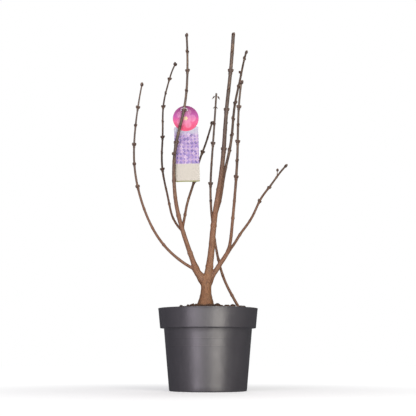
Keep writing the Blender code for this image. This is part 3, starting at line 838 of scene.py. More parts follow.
@dataclass
class Grower:
    """Grows all that stands on one limb, by the rule and in the room that is left."""

    rule: GrowthRule
    path: Path
    space: Space
    owner: str  # the limb's name
    draw: random.Random
    crop: Crop = field(default_factory=Crop)

    def add_buds(self, spot: Vector, heading: Vector, turn: float, radius: float, kind: BudKind) -> None:
        """Adds a pair of opposite buds, each left out where there is no room for it.

        Args:
            spot: the middle of the stem.
            heading: the stem's direction.
            turn: the side of the first bud.
            radius: the stem's radius.
            kind: where the buds stand.
        """
        size = self.rule.end_bud_size if kind is BudKind.END else 1.0
        splay = self.rule.bud_splay if kind is BudKind.SIDE else self.rule.tip_bud_splay
        length, width = self.rule.bud_length * size + radius, self.rule.bud_width * size
        for side in (0.0, math.pi):
            out = tilted(heading, turn + side, splay)
            if self.space.is_free(self.owner, spot + out * length * 0.75, width / 2):
                self.crop.buds.append(Bud(spot, out, heading, length, radius, kind))
                self.space.take(self.owner, spot + out * length, 0.0)

    def add_husks(self) -> None:
        """Adds the hanging pairs of husks at the limb's tip, one of each pair to each side."""
        for drop, size in self.rule.husk_tiers:
            share = 1.0 - drop / self.path.length
            spot, heading = self.path.point(share), self.path.tangent(share)
            length = self.rule.husk_length * size
            for side in (0.0, math.pi):
                out = tilted(heading, self.rule.husk_turn + side, self.rule.husk_splay)
                self.crop.buds.append(Bud(spot, out, heading, length, self.path.limb.thin, BudKind.HUSK))
                self.space.take(self.owner, spot + out * length, 0.0)

    def add_twig(self, spot: Vector, heading: Vector, turn: float, length: float) -> bool:
        """Adds a side twig to the front or back that turns up, with buds of its own.

        Args:
            spot: the middle of the stem.
            heading: the stem's direction.
            turn: the side that it leans to.
            length: its length.

        Returns:
            Whether there was room for it.
        """
        rule = self.rule
        out = tilted(heading, turn, rule.twig_splay)
        if abs(out.x) > abs(out.y):
            return False
        up = (out + Vector((0, 0, 0.9))).normalized()
        elbow = spot + out * length * rule.twig_elbow
        ends = [spot, elbow, elbow + up * length * (1 - rule.twig_elbow)]
        count = max(3, round(length / rule.twig_step))
        spots = []
        for step in range(count + 1):
            t = step / count
            spots.append((1 - t) ** 2 * ends[0] + 2 * t * (1 - t) * ends[1] + t * t * ends[2])
        if not all(self.space.is_free(self.owner, place, rule.bud_width) for place in spots):
            return False
        shoot = Shoot(spots, [rule.twig_radius * (1.15 - 0.35 * step / count) for step in range(count + 1)])
        self.crop.shoots.append(shoot)
        for place in spots:
            self.space.take(self.owner, place, rule.twig_radius)
        seat = spots[-1] - up * rule.tip_bud_seat
        self.add_buds(seat, up, self.draw.uniform(0, math.pi), rule.tip_bud_seat, BudKind.TWIG_END)
        spacing = max(2, round(rule.twig_bud_spacing * count / length))
        for index in range(spacing, count - 1, spacing):
            along = (spots[index + 1] - spots[index - 1]).normalized()
            self.add_buds(spots[index], along, turn + index, rule.twig_radius, BudKind.SIDE)
            shoot.nodes.append((index, turn + index))
        return True

    def node_shares(self) -> Iterator[float]:
        """Gives the shares of the length where buds stand."""
        length = self.path.length
        share = self.draw.uniform(*self.rule.node_spacing) / length
        free = self.rule.husk_room if self.path.limb.droops else self.rule.last_bud
        while share < 1 - free / length:
            yield share
            share += self.draw.uniform(*self.rule.node_spacing) / length

    def grow(self) -> Crop:
        """Grows the limb's nodes, buds and side twigs."""
        rule, path, draw = self.rule, self.path, self.draw
        start = path.limb.bough + rule.gap / path.length
        turn = draw.uniform(0, math.pi)
        for share in self.node_shares():
            turn += math.pi / 2 + draw.uniform(-rule.stray_turn, rule.stray_turn)
            branches = draw.random() < rule.twig_chance
            length = draw.uniform(*rule.twig_length) * (1.1 - share)
            side = draw.choice((0.0, math.pi))
            self.crop.nodes.append((share, turn))
            if share < start + rule.first_bud / path.length:
                continue
            spot, heading = path.point(share), path.tangent(share)
            branches = branches and rule.twig_zone[0] < share < rule.twig_zone[1]
            if not (branches and self.add_twig(spot, heading, turn + side, length)):
                self.add_buds(spot, heading, turn, path.radius(share), BudKind.SIDE)
        if path.limb.droops:
            self.add_husks()
        else:
            seat, heading = path.point(1.0 - rule.tip_bud_seat / path.length), path.tangent(1.0)
            self.add_buds(seat, heading, turn + math.pi / 4, rule.tip_bud_seat, BudKind.END)
        return self.crop


@dataclass(frozen=True)
class Growth:
    """Every limb's path, and what grows on it."""

    paths: dict[str, Path]
    crops: dict[str, Crop]

    def nodes(self, name: str) -> list[Pair]:
        """Lists a limb's nodes: each one's place along it, in metres, and its buds' turn."""
        return [(share * self.paths[name].length, turn) for share, turn in self.crops[name].nodes]


# ---- pot and peat


@dataclass(frozen=True)
class PotForm:
    """The pot: a foot ring, a tapered body with two faint ridges, a tall rim band and a rolled lip."""

    height: float = 0.2355
    foot_radius: float = 0.1115
    foot_round: float = 0.003
    shoulder_radius: float = 0.1275
    band_bottom_radius: float = 0.1385
    rim_radius: float = 0.1445
    band_bottom: float = 0.1795
    wall: float = 0.0022
    lip_round: float = 0.0011
    lip_proud: float = 0.0010
    floor: float = 0.0065
    channel_depth: float = 0.004
    channel_inner: float = 0.062
    channel_outer: float = 0.098
    ridges: tuple[float, ...] = (0.1265, 0.1485)
    ridge_depth: float = 0.00014
    ridge_half: float = 0.0012
    run: float = 0.012  # the most that two rings of a plain wall are apart
    drains: int = 8
    drain_radius: float = 0.007
    drain_circle: float = 0.0800
    sides: int = 224

    def outer_radius(self, height: float) -> float:
        """Gives the body's outer radius at a height."""
        return self.foot_radius + (self.shoulder_radius - self.foot_radius) * height / self.band_bottom

    def inner_radius(self, height: float) -> float:
        """Gives the inner wall's radius at a height."""
        if height <= self.band_bottom + self.wall:
            return self.outer_radius(min(height, self.band_bottom)) - self.wall
        share = (height - self.band_bottom) / (self.height - self.band_bottom)
        return self.band_bottom_radius + (self.rim_radius - self.band_bottom_radius) * share - self.wall

    def underside(self) -> list[Pair]:
        """Outlines the underside, from the middle out to the foot ring."""
        bend = 0.0015
        inner, outer, top = self.channel_inner, self.channel_outer, self.channel_depth - bend
        return [
            (0, 0.0008),
            (0.006, 0.0008),
            (0.007, 0),
            (inner, 0),
            *arc((inner + bend, bend), bend, 270, 350, 3),
            *arc((inner + 2 * bend, top), bend, 170, 90, 3),
            *arc((outer - 2 * bend, top), bend, 90, 10, 3),
            *arc((outer - bend, bend), bend, 190, 270, 3),
            (outer, 0),
        ]

    def body(self) -> list[Pair]:
        """Outlines the outside of the body, from the foot ring to the rim band."""
        middle = (self.foot_radius - self.foot_round, self.foot_round)
        points = arc(middle, self.foot_round, 270, 355, 6)
        start = self.foot_round + 0.0008
        for height in self.ridges:
            points += self.wall_run(start, height - 2 * self.ridge_half)
            for away, rise in ((-1.0, 0.0), (-0.35, 1.0), (0.35, 1.0), (1.0, 0.0)):
                level = height + away * self.ridge_half
                points.append((self.outer_radius(level) + rise * self.ridge_depth, level))
            start = height + 2 * self.ridge_half
        top = self.band_bottom - 0.0012
        points += self.wall_run(start, top - 0.002)
        points += arc((self.outer_radius(top) + 0.0016, top - 0.0016), 0.0016, 180, 90, 4)
        return points

    def wall_run(self, low: float, high: float) -> list[Pair]:
        """Outlines a plain stretch of the body's outside, with rings close enough for even shading."""
        count = max(1, round((high - low) / self.run))
        heights = [low + (high - low) * step / count for step in range(count + 1)]
        return [(self.outer_radius(height), height) for height in heights]

    def band(self) -> list[Pair]:
        """Outlines the rim band and its rolled lip, from its lower edge over the top to the inner wall."""
        edge = 0.0012
        bead = self.lip_round
        points = arc((self.band_bottom_radius - edge, self.band_bottom + 0.0001), edge, 275, 365, 4)
        top = self.height - 2 * bead
        low, high = self.band_bottom + 0.003, top - 0.0042
        count = round((high - low) / self.run)
        reach = self.rim_radius - self.lip_proud - 0.0001
        for step in range(count + 1):
            share = (low + (high - low) * step / count - self.band_bottom) / (high - self.band_bottom)
            radius = self.band_bottom_radius + (reach - self.band_bottom_radius) * share
            points.append((radius, low + (high - low) * step / count))
        points.append((self.rim_radius - self.lip_proud * 0.7, top - 0.0022))
        points += arc((self.rim_radius - bead, self.height - bead), bead, -30, 90, 6)
        inner = self.rim_radius - self.lip_proud - self.wall
        points += arc((inner + bead * 0.4, self.height - bead), bead, 90, 180, 4)
        return points

    def inside(self) -> list[Pair]:
        """Outlines the inner wall, from the lip down to the middle of the floor."""
        step = self.band_bottom + self.wall
        return [
            (self.inner_radius(self.height) - 0.0008, self.height - 0.004),
            (self.inner_radius(step + 0.0002), step + 0.0002),
            (self.shoulder_radius - self.wall, step - 0.0014),
            (self.inner_radius(self.floor + 0.002), self.floor + 0.002),
            (self.inner_radius(self.floor) - 0.002, self.floor),
            (0, self.floor),
        ]

    def mesh(self) -> Mesh:
        """Turns the outline about Z and opens the drain holes."""
        outline = [*self.underside(), *self.body(), *self.band(), *self.inside()]
        spots = [Vector((0, 0, outline[0][1]))]
        for radius, height in outline[1:-1]:
            spots += circle(radius, height, self.sides)
        spots.append(Vector((0, 0, outline[-1][1])))
        holes = bmesh.new()
        for place in circle(self.drain_circle, self.floor / 2, 2 * self.drains)[1::2]:
            add_drill(holes, Matrix.Translation(place), self.drain_radius, 4 * self.floor, 32)
        return cut_mesh(mesh_of(spots, ring_faces(len(outline) - 2, self.sides)), holes)

    def build(self, finish: Finish) -> Piece:
        """Builds the pot."""
        return put_piece("moulded_pot", self.mesh(), [finish], ["pot"], sharp=32.0)


def add_drill(cutters: bmesh.types.BMesh, place: Matrix, radius: float, depth: float, sides: int) -> None:
    """Adds a round cutter, along the Z of its place."""
    size = {"radius1": radius, "radius2": radius, "depth": depth, "segments": sides}
    bmesh.ops.create_cone(cutters, cap_ends=True, matrix=place, **size)


def cut_mesh(mesh: Mesh, cutters: bmesh.types.BMesh) -> Mesh:
    """Cuts closed forms out of a closed mesh.

    Args:
        mesh: the mesh to cut; it is used up.
        cutters: the forms, which are freed.

    Returns:
        The cut mesh.
    """
    tool_mesh = bpy.data.meshes.new("cutter")
    cutters.to_mesh(tool_mesh)
    cutters.free()
    body, tool = put_thing("body", mesh), put_thing("cutter", tool_mesh)
    knife = body.modifiers.new("cut", "BOOLEAN")
    knife.operation = "DIFFERENCE"
    knife.object = tool
    knife.solver = "EXACT"
    made = baked(body)
    bpy.data.objects.remove(tool)
    return made


def baked(thing: Piece) -> Mesh:
    """Makes a mesh of an object with its modifiers applied, and removes the object."""
    graph = bpy.context.evaluated_depsgraph_get()
    made = bpy.data.meshes.new_from_object(thing.evaluated_get(graph))
    bpy.data.objects.remove(thing)
    return made


@dataclass(frozen=True)
class PeatBed:
    """The peat: a mounded crumbly top that fills the pot, with loose clods and fibres on it."""

    pot: PotForm
    trunk: Trunk
    seed: int = 7
    at_wall: float = 0.2275
    at_trunk: float = 0.2450
    mound_flat: float = 0.02
    mound_spread: float = 0.125
    gap: float = 0.0004
    rings: int = 62
    sides: int = 200
    clods: tuple[tuple[float, ...], ...] = (  # how many, their least and greatest size, and their spread
        (26, 0.0048, 0.0072, 0.098), (84, 0.0022, 0.0042, 0.128), (510, 0.0008, 0.0022, 0.128),
    )
    tall_clods: tuple[Place, ...] = (  # x, y and size
        (0.027, -0.052, 0.0098), (0.054, 0.030, 0.0088), (0.070, -0.040, 0.0092), (0.083, 0.062, 0.0096),
        (0.100, 0.004, 0.0125), (0.104, -0.030, 0.0090), (-0.078, 0.020, 0.0090), (0.012, 0.080, 0.0085),
    )
    fibres: int = 260

    def height(self, x: float, y: float) -> float:
        """Gives the height of the crumbly top at the place x, y."""
        away = math.hypot(x - self.trunk.foot[0], y - self.trunk.foot[1])
        mound = (self.at_trunk - self.at_wall) * (1 - smooth((away - self.mound_flat) / self.mound_spread))
        lumps = 0.0034 * fractal(Vector((x * 42, y * 42, 3.1)), 2)
        crumbs = 0.0016 * fractal(Vector((x * 150, y * 150, 9.7)), 3)
        pits = 0.0012 * max(0.0, fractal(Vector((x * 330, y * 330, 5.3)), 2))
        return self.at_wall + mound + lumps + crumbs - pits

    def mesh(self) -> Mesh:
        """Makes the bed: the top, the wall and the flat bottom."""
        step = self.pot.band_bottom + self.pot.wall + 0.001
        levels = [self.pot.floor + self.gap, step - 0.003, step, self.at_wall - 0.003]
        spots = [Vector((0, 0, levels[0]))]
        for height in levels:
            spots += circle(self.pot.inner_radius(height) - self.gap, height, self.sides)
        outer = self.pot.inner_radius(self.at_wall) - self.gap
        for level in range(self.rings, 0, -1):
            radius = outer * level / self.rings
            for spot in circle(radius, 0, self.sides):
                rise = self.height(spot.x, spot.y) - self.at_wall + 0.0015
                spot.z = self.at_wall - 0.0015 + rise * smooth((outer - radius) / 0.006)
                spots.append(spot)
        spots.append(Vector((0, 0, self.height(0, 0))))
        return mesh_of(spots, ring_faces(len(levels) + self.rings, self.sides))

    def clod_forms(self, draw: random.Random, detail: int, count: int) -> list[Form]:
        """Makes irregular clods of unit size.

        Args:
            draw: the seeded draws.
            detail: how finely they are divided.
            count: how many there are.

        Returns:
            Each one's vertices and faces.
        """
        forms = []
        for _ in range(count):
            shape = bmesh.new()
            bmesh.ops.create_icosphere(shape, subdivisions=detail, radius=1.0)
            shift = Vector([draw.uniform(0, 50) for _ in range(3)])
            squash = Vector((1.0, draw.uniform(0.65, 1.0), draw.uniform(0.55, 0.85)))
            spots = []
            for vertex in shape.verts:
                lumps = 1 + 0.34 * fractal(vertex.co * 1.1 + shift, 3)
                rough = lumps + 0.10 * fractal(vertex.co * 3.6 + shift, 2)
                spots.append(Vector([rough * a * b for a, b in zip(vertex.co, squash)]))
            faces = [tuple(vertex.index for vertex in face.verts) for face in shape.faces]
            shape.free()
            forms.append((spots, faces))
        return forms

    def place(self, draw: random.Random, spread: float) -> Place:
        """Draws a place on the bed.

        Args:
            draw: the seeded draws.
            spread: how far it may be from the middle.

        Returns:
            Its X, its Y and the bed's height there.
        """
        while True:
            away, turn = spread * math.sqrt(draw.random()), draw.uniform(0, math.tau)
            x, y = away * math.cos(turn), away * math.sin(turn)
            if math.hypot(x - self.trunk.foot[0], y - self.trunk.foot[1]) > self.trunk.radii[0][1] + 0.002:
                return x, y, self.height(x, y)

    def gather_clods(self) -> Gatherer:
        """Strews clods over the bed, a few large and most of them small, and then sets the tall ones."""
        draw = random.Random(self.seed)
        fine, coarse = self.clod_forms(draw, 2, 10), self.clod_forms(draw, 3, 6)
        gatherer = Gatherer()
        for (count, least, most, spread), forms in zip(self.clods, (coarse, coarse, fine)):
            for _ in range(count):
                size = draw.uniform(least, most)
                x, y, z = self.place(draw, spread)
                turn = Matrix.Rotation(draw.uniform(0, math.tau), 3, "Z")
                turn = turn @ Matrix.Rotation(draw.uniform(-0.6, 0.6), 3, "X")
                spots, faces = draw.choice(forms)
                seat = Vector((x, y, z + size * 0.18))
                gatherer.add([seat + turn @ (spot * size) for spot in spots], faces)
        for x, y, size in self.tall_clods:
            spots, faces = draw.choice(coarse)
            turn = Matrix.Rotation(draw.uniform(0, math.tau), 3, "Z")
            seat = Vector((x, y, self.height(x, y) + size * 0.25))
            gatherer.add([seat + turn @ (spot * size) for spot in spots], faces)
        return gatherer

    def gather_fibres(self) -> Gatherer:
        """Strews thin bent fibres over the bed."""
        draw = random.Random(self.seed + 1)
        gatherer = Gatherer()
        for _ in range(self.fibres):
            x, y, z = self.place(draw, 0.124)
            turn, bend = draw.uniform(0, math.tau), draw.uniform(-2.2, 2.2)
            length = draw.uniform(0.004, 0.013)
            spots, spot = [], Vector((x, y, z + 0.0004))
            for step in range(6):
                spots.append(spot.copy())
                angle = turn + bend * step / 5
                spot += polar(1.0, angle) * length / 5
                spot.z = self.height(spot.x, spot.y) + 0.0006 + 0.0010 * math.sin(math.pi * (step + 1) / 6)
            radius = draw.uniform(0.00018, 0.00038)
            gatherer.add(*tube(spots, [radius * (1 - 0.1 * step) for step in range(6)], 4))
        return gatherer

    def build(self, peat: Finish, straw: Finish) -> None:
        """Builds the bed, its clods and its fibres.

        Args:
            peat: the bed's and the clods' finish.
            straw: the fibres' finish.
        """
        put_piece("peat_bed", self.mesh(), [peat], ["soil"], sharp=180.0)
        put_piece("peat_clods", self.gather_clods().mesh(), [peat], sharp=180.0)
        put_piece("peat_fibres", self.gather_fibres().mesh(), [straw])


# ---- the wood's skin


@dataclass(frozen=True)
class Skin:
    """The wood's surface: swollen nodes with a cushion under each bud, and shallow fissures."""

    node_ring: float = 0.00045
    node_reach: float = 0.0030
    cushion: float = 0.00095
    cushion_reach: float = 0.0036
    cushion_drop: float = 0.0026  # how far the cushion sits below its node
    fissure: float = 0.00050
    ripple: float = 0.00028

    def swell(self, nodes: Sequence[Pair], run: float, angle: float) -> float:
        """Gives how far the nodes swell the wood.

        Args:
            nodes: pairs of each node's place along the limb, in metres, and its buds' turn.
            run: the place along the limb.
            angle: the place round it.

        Returns:
            The rise, in metres.
        """
        rise = 0.0
        for place, turn in nodes:
            away = run - place
            if abs(away) < 0.016:
                rise += self.node_ring * math.exp(-((away / self.node_reach) ** 2))
                facing = math.cos(angle - turn) ** 6
                low = (away + self.cushion_drop) / self.cushion_reach
                rise += self.cushion * facing * math.exp(-(low**2))
        return rise

    def roughness(self, run: float, angle: float, radius: float, shift: float) -> float:
        """Gives the height of the bark's fissures and ripples.

        Args:
            run: the place along the limb.
            angle: the place round it.
            radius: the limb's radius there.
            shift: what sets this limb apart from the others.

        Returns:
            The rise, in metres.
        """
        round_x, round_y = math.cos(angle) * radius, math.sin(angle) * radius
        age = smooth((radius - 0.003) / 0.010)
        ridges = fractal(Vector((round_x * 260, round_y * 260, run * 42 + shift)), 3)
        ripple = fractal(Vector((round_x * 90, round_y * 90, run * 70 + shift + 7.0)), 2)
        return self.fissure * (0.25 + 0.75 * age) * ridges + self.ripple * (0.4 + 0.6 * age) * ripple


def age_of(radius: float, height: float) -> float:
    """Tells how young the bark is: 0 on the thick foot and 1 on thin shoots high up."""
    slim = min(1.0, max(0.0, (0.0150 - radius) / 0.0112))
    high = smooth((height - 0.46) / 0.40)
    return min(1.0, slim * (0.46 + 0.54 * high) + 0.26 * high)


@dataclass
class Sample:
    """One station on the axis of the trunk, which counts as limb -1, or of a limb."""

    spot: Vector
    heading: Vector
    run: float
    radius: float
    limb: int = -1

    def __post_init__(self) -> None:
        """Finds two directions square to the heading."""
        self.side = across(self.heading)
        self.up = self.heading.cross(self.side)


@dataclass(frozen=True)
class BarkBody:
    """The trunk and every bough as one skin, with soft forks, swollen nodes and bark relief."""

    trunk: Trunk
    growth: Growth
    skin: Skin
    voxel: float = 0.00111
    station: float = 0.0016
    sides: int = 20
    collar: float = 0.42  # how much a limb widens where it leaves its parent
    fork_reach: float = 0.0085
    fork_rounds: int = 26
    overlap: float = 0.0012

    def limb_form(self, path: Path) -> Form:
        """Makes one limb's plain form, widened where it leaves its parent and rounded where it ends bare."""
        bare = path.limb.bough == 1.0
        end = path.limb.bough + (0.0 if bare else self.overlap / path.length)
        count = round(end * path.length / 0.003)
        shares = [end * index / count for index in range(count + 1)]
        spots, radii = [], []
        for share in shares:
            radius = path.radius(share)
            leaving = math.exp(-max(0.0, share * path.length - 1.2 * radius) / (1.5 * radius))
            spots.append(path.point(share))
            radii.append(radius * (1 + self.collar * leaving))
        if bare:
            heading = path.tangent(1.0)
            for degrees in (20, 40, 60, 78):
                turn = math.radians(degrees)
                spots.append(path.point(1.0) + heading * radii[count] * 0.8 * math.sin(turn))
                radii.append(radii[count] * math.cos(turn))
        return tube(spots, radii, self.sides)

    def stations(self) -> list[Sample]:
        """Lists stations along the trunk and every bough."""
        listed = []
        height = (Vector(self.trunk.top) - Vector(self.trunk.foot)).length
        for index in range(round(height / self.station) + 8):
            share = index * self.station / height
            spot, radius = self.trunk.point(share), self.trunk.radius(share)
            listed.append(Sample(spot, self.trunk.heading(), share * height, radius))
        for limb, path in enumerate(self.growth.paths.values()):
            for index in range(round(path.limb.bough * path.length / self.station) + 2):
                share = index * self.station / path.length
                spot, radius = path.point(share), path.radius(share)
                listed.append(Sample(spot, path.tangent(share), share * path.length, radius, limb))
        return listed

    def raw_mesh(self) -> Mesh:
        """Fuses the plain forms of the trunk and the limbs into one fine skin."""
        gatherer = Gatherer()
        gatherer.add(*self.trunk.tube(40, 48))
        for path in self.growth.paths.values():
            gatherer.add(*self.limb_form(path))
        body = put_thing("bark", gatherer.mesh())
        fuse = body.modifiers.new("fuse", "REMESH")
        fuse.mode = "VOXEL"
        fuse.voxel_size = self.voxel
        return baked(body)

    def soften_forks(self, places: np.ndarray, mesh: Mesh) -> np.ndarray:
        """Rounds off the creases where limbs leave each other, and the steps of the fused skin elsewhere.

        Args:
            places: the skin's vertices.
            mesh: the skin, for its edges.

        Returns:
            The moved vertices.
        """
        edges = np.empty(len(mesh.edges) * 2, dtype=np.int64)
        mesh.edges.foreach_get("vertices", edges)
        first, second = edges.reshape(-1, 2).T
        count = np.bincount(first, minlength=len(places)) + np.bincount(second, minlength=len(places))
        weight = np.zeros(len(places))
        for path in self.growth.paths.values():
            if path.limb.parent != "soil":
                fork = np.array(path.point(min(1.0, 1.6 * path.limb.thick / path.length)))
                reach = self.fork_reach + 0.6 * path.limb.thick
                weight = np.maximum(weight, np.exp(-(((places - fork) ** 2).sum(1) / reach**2)))
        for turn in range(self.fork_rounds):
            mean = np.empty_like(places)
            for axis in range(3):
                column = places[:, axis]
                ahead = np.bincount(first, column[second], len(places))
                mean[:, axis] = (ahead + np.bincount(second, column[first], len(places))) / count
            pull = np.where(turn < 4, np.maximum(weight, 0.55), weight)[:, None] * 0.6
            places = places + (mean - places) * pull
        return places

    def nearest_stations(self, places: np.ndarray) -> list[Sample]:
        """Finds the station that each vertex belongs to: the one whose limb's surface is nearest to it."""
        samples = self.stations()
        tree = KDTree(len(samples))
        for index, sample in enumerate(samples):
            tree.insert(sample.spot, index)
        tree.balance()
        found = []
        for place in places:
            near = tree.find_n(Vector(place), 10)
            found.append(samples[min(near, key=lambda hit: hit[2] - samples[hit[1]].radius)[1]])
        return found

    def mesh(self) -> Mesh:
        """Makes the skin with its relief."""
        mesh = self.raw_mesh()
        places = np.empty(len(mesh.vertices) * 3)
        mesh.vertices.foreach_get("co", places)
        places = self.soften_forks(places.reshape(-1, 3), mesh)
        mesh.vertices.foreach_set("co", places.ravel())
        mesh.update()
        normals = np.empty(len(mesh.vertices) * 3)
        mesh.vertices.foreach_get("normal", normals)
        nodes = [self.growth.nodes(name) for name in self.growth.paths]
        grain, age, rises = [], [], []
        for place, sample in zip(places, self.nearest_stations(places)):
            out = Vector(place) - sample.spot
            angle = math.atan2(out.dot(sample.up), out.dot(sample.side))
            run = sample.run + out.dot(sample.heading)
            shift = LIMB_SHIFT * sample.limb
            rise = self.skin.roughness(run, angle, sample.radius, shift)
            if sample.limb >= 0:
                rise += self.skin.swell(nodes[sample.limb], run, angle)
            rises.append(rise)
            grain.append(polar(sample.radius, angle, run + shift))
            age.append(age_of(sample.radius, sample.spot.z))
        moved = places + normals.reshape(-1, 3) * np.array(rises)[:, None]
        mesh.vertices.foreach_set("co", moved.ravel())
        mesh.update()
        keep_values(mesh, "grain", grain)
        keep_values(mesh, "age", age)
        return mesh

    def build(self, bark: Finish) -> Piece:
        """Builds the body."""
        nodes = ["trunk"] + ["bough_" + name for name in self.growth.paths]
        return put_piece("bark_body", self.mesh(), [bark], nodes, sharp=180.0)


# ---- twigs and buds


@dataclass(frozen=True)
class Stem:
    """One stem or side twig, by the run along it in metres."""

    point: Callable[[float], Vector]
    tangent: Callable[[float], Vector]
    radius: Callable[[float], float]
    first: float
    last: float
    nodes: list[Pair]  # each one's run, and its buds' turn
    sides: int
    shift: float


@dataclass(frozen=True)
class Stems:
    """The budded stems above the boughs, with their side twigs."""

    growth: Growth
    skin: Skin
    station: float = 0.0021
    sides: int = 14
    twig_sides: int = 10
    overlap: float = 0.0016

    def form(self, stem: Stem) -> tuple[list[Vector], Faces, list[Vector], list[float]]:
        """Makes one stem with swollen nodes and a rounded end.

        Args:
            stem: the stem.

        Returns:
            Its vertices, its faces and each vertex's grain and age.
        """
        first, last, end = stem.first, stem.last, stem.radius(stem.last)
        count = max(4, round((last - first) / self.station))
        levels = [(first + (last - first) * index / count, 1.0, 0.0) for index in range(count + 1)]
        for turn in map(math.radians, (30, 55, 76)):
            levels.append((last, math.cos(turn), end * 0.7 * math.sin(turn)))
        spots, grain = [stem.point(first)], [Vector((0, 0, first + stem.shift))]
        age = [age_of(stem.radius(first), stem.point(first).z)]
        for run, shrink, rise in levels:
            heading = stem.tangent(run)
            side = across(heading)
            up = heading.cross(side)
            middle, thick = stem.point(run) + heading * rise, stem.radius(run)
            for angle in turns(stem.sides):
                reach = thick + self.skin.swell(stem.nodes, run, angle)
                reach = (reach + self.skin.roughness(run, angle, thick, stem.shift)) * shrink
                spots.append(middle + reach * (math.cos(angle) * side + math.sin(angle) * up))
                grain.append(polar(thick, angle, run + stem.shift))
                age.append(age_of(thick, middle.z))
        spots.append(stem.point(last) + stem.tangent(last) * end * 0.7)
        grain.append(Vector((0, 0, last + stem.shift)))
        age.append(age_of(end, stem.point(last).z))
        return spots, ring_faces(len(levels), stem.sides), grain, age

    def twig(self, shoot: Shoot, shift: float) -> Stem:
        """Lays a side twig on a smooth curve through its spots.

        Args:
            shoot: the side twig.
            shift: what sets its bark apart from the others.

        Returns:
            The twig as a stem.
        """
        spots = shoot.spots
        length = sum((b - a).length for a, b in zip(spots, spots[1:]))
        pitch = length / (len(spots) - 1)

        def point(run: float) -> Vector:
            """Gives the axis at a run, on a curve that passes through every spot."""
            place = min(max(run / pitch, 0.0), len(spots) - 1.0)
            index = min(int(place), len(spots) - 2)
            t = place - index
            before, after = spots[max(index - 1, 0)], spots[min(index + 2, len(spots) - 1)]
            here, there = spots[index], spots[index + 1]
            bend = (2 * before - 5 * here + 4 * there - after) * t * t
            bend += (3 * here - before - 3 * there + after) * t**3
            return here + 0.5 * ((there - before) * t + bend)

        def tangent(run: float) -> Vector:
            """Gives the direction at a run."""
            near = 0.1 * pitch
            return (point(run + near) - point(run - near)).normalized()

        def radius(run: float) -> float:
            """Gives the radius at a run."""
            return shoot.radii[0] + (shoot.radii[-1] - shoot.radii[0]) * min(max(run / length, 0.0), 1.0)

        nodes = [(index * pitch, turn) for index, turn in shoot.nodes]
        return Stem(point, tangent, radius, 0.0, length, nodes, self.twig_sides, shift)

    def stems(self) -> Iterator[Stem]:
        """Gives every stem and side twig."""
        for limb, (name, path) in enumerate(self.growth.paths.items()):
            if path.limb.bough == 1.0:
                continue
            yield Stem(
                lambda run, path=path: path.point(run / path.length),
                lambda run, path=path: path.tangent(run / path.length),
                lambda run, path=path: path.radius(run / path.length),
                path.limb.bough * path.length - self.overlap,
                path.length,
                self.growth.nodes(name),
                self.sides,
                LIMB_SHIFT * limb,
            )
            for index, shoot in enumerate(self.growth.crops[name].shoots):
                yield self.twig(shoot, LIMB_SHIFT * limb + TWIG_SHIFT * (index + 1))

    def build(self, bark: Finish) -> Piece:
        """Builds the stems."""
        gatherer, grain, age = Gatherer(), [], []
        for stem in self.stems():
            spots, faces, stem_grain, stem_age = self.form(stem)
            gatherer.add(spots, faces)
            grain += stem_grain
            age += stem_age
        mesh = gatherer.mesh()
        keep_values(mesh, "grain", grain)
        keep_values(mesh, "age", age)
        nodes = ["twigs_" + name for name, path in self.growth.paths.items() if path.limb.bough < 1.0]
        return put_piece("twig_stems", mesh, [bark], nodes, sharp=180.0)


@dataclass(frozen=True)
class BudForm:
    """A lilac bud of unit length along Z: a pointed egg wrapped in opposite pairs of scales."""

    width: float = 0.60
    belly: float = 0.34
    core_sides: int = 10
    core_rings: int = 8
    scale_columns: int = 5
    scale_rows: int = 6
    pairs: tuple[Place, ...] = (  # reach, bulge and turn of each pair of scales
        (0.50, 1.20, 0.0), (0.74, 1.12, 90.0), (0.93, 1.05, 0.0),
    )

    def radius(self, t: float) -> float:
        """Gives the egg's radius at a share of its length."""
        t = min(max(t, 0.0), 1.0)
        up, down = self.belly, 1 - self.belly
        peak = up**0.30 * down**0.58
        return self.width / 2 * t**0.30 * (1 - t) ** 0.58 / peak

    def core(self) -> Form:
        """Makes the egg inside the scales."""
        spots = [Vector((0, 0, 0))]
        for level in range(1, self.core_rings + 1):
            t = level / (self.core_rings + 1)
            spots += circle(self.radius(t), t, self.core_sides)
        spots.append(Vector((0, 0, 1)))
        return spots, ring_faces(self.core_rings, self.core_sides)

    def scale(self, reach: float, bulge: float, turn: float) -> Form:
        """Makes one scale: a curved pointed shell that is thin at its margin.

        Args:
            reach: how far up the bud it reaches.
            bulge: how far it stands off the egg.
            turn: its side, in degrees.

        Returns:
            Its vertices and faces.
        """
        spots = []
        for layer in (1.0, 0.0):
            for row in range(self.scale_rows):
                share = row / (self.scale_rows - 1)
                t = 0.03 + (reach - 0.03) * share
                half = math.radians(84) * (1 - share**2.2) ** 0.62 + math.radians(1.5)
                for column in range(self.scale_columns):
                    side = 2 * column / (self.scale_columns - 1) - 1
                    angle = math.radians(turn) + half * side
                    keel = 0.05 * (1 - abs(side)) * (1 - share)
                    stand = bulge + keel if layer else 0.92
                    radius = self.radius(t) * stand + (0.012 + 0.03 * share**3) * layer
                    rise = t + 0.012 * layer * share
                    spots.append(polar(radius, angle, rise))
        return spots, shell_faces(self.scale_rows, self.scale_columns)

    def parts(self) -> list[tuple]:
        """Lists the bud's forms, each with the finish that it takes."""
        parts = [(*self.core(), 1)]
        for level, (reach, bulge, turn) in enumerate(self.pairs):
            for side in (0.0, 180.0):
                parts.append((*self.scale(reach, bulge, turn + side), 0 if level < 2 else 1))
        return parts


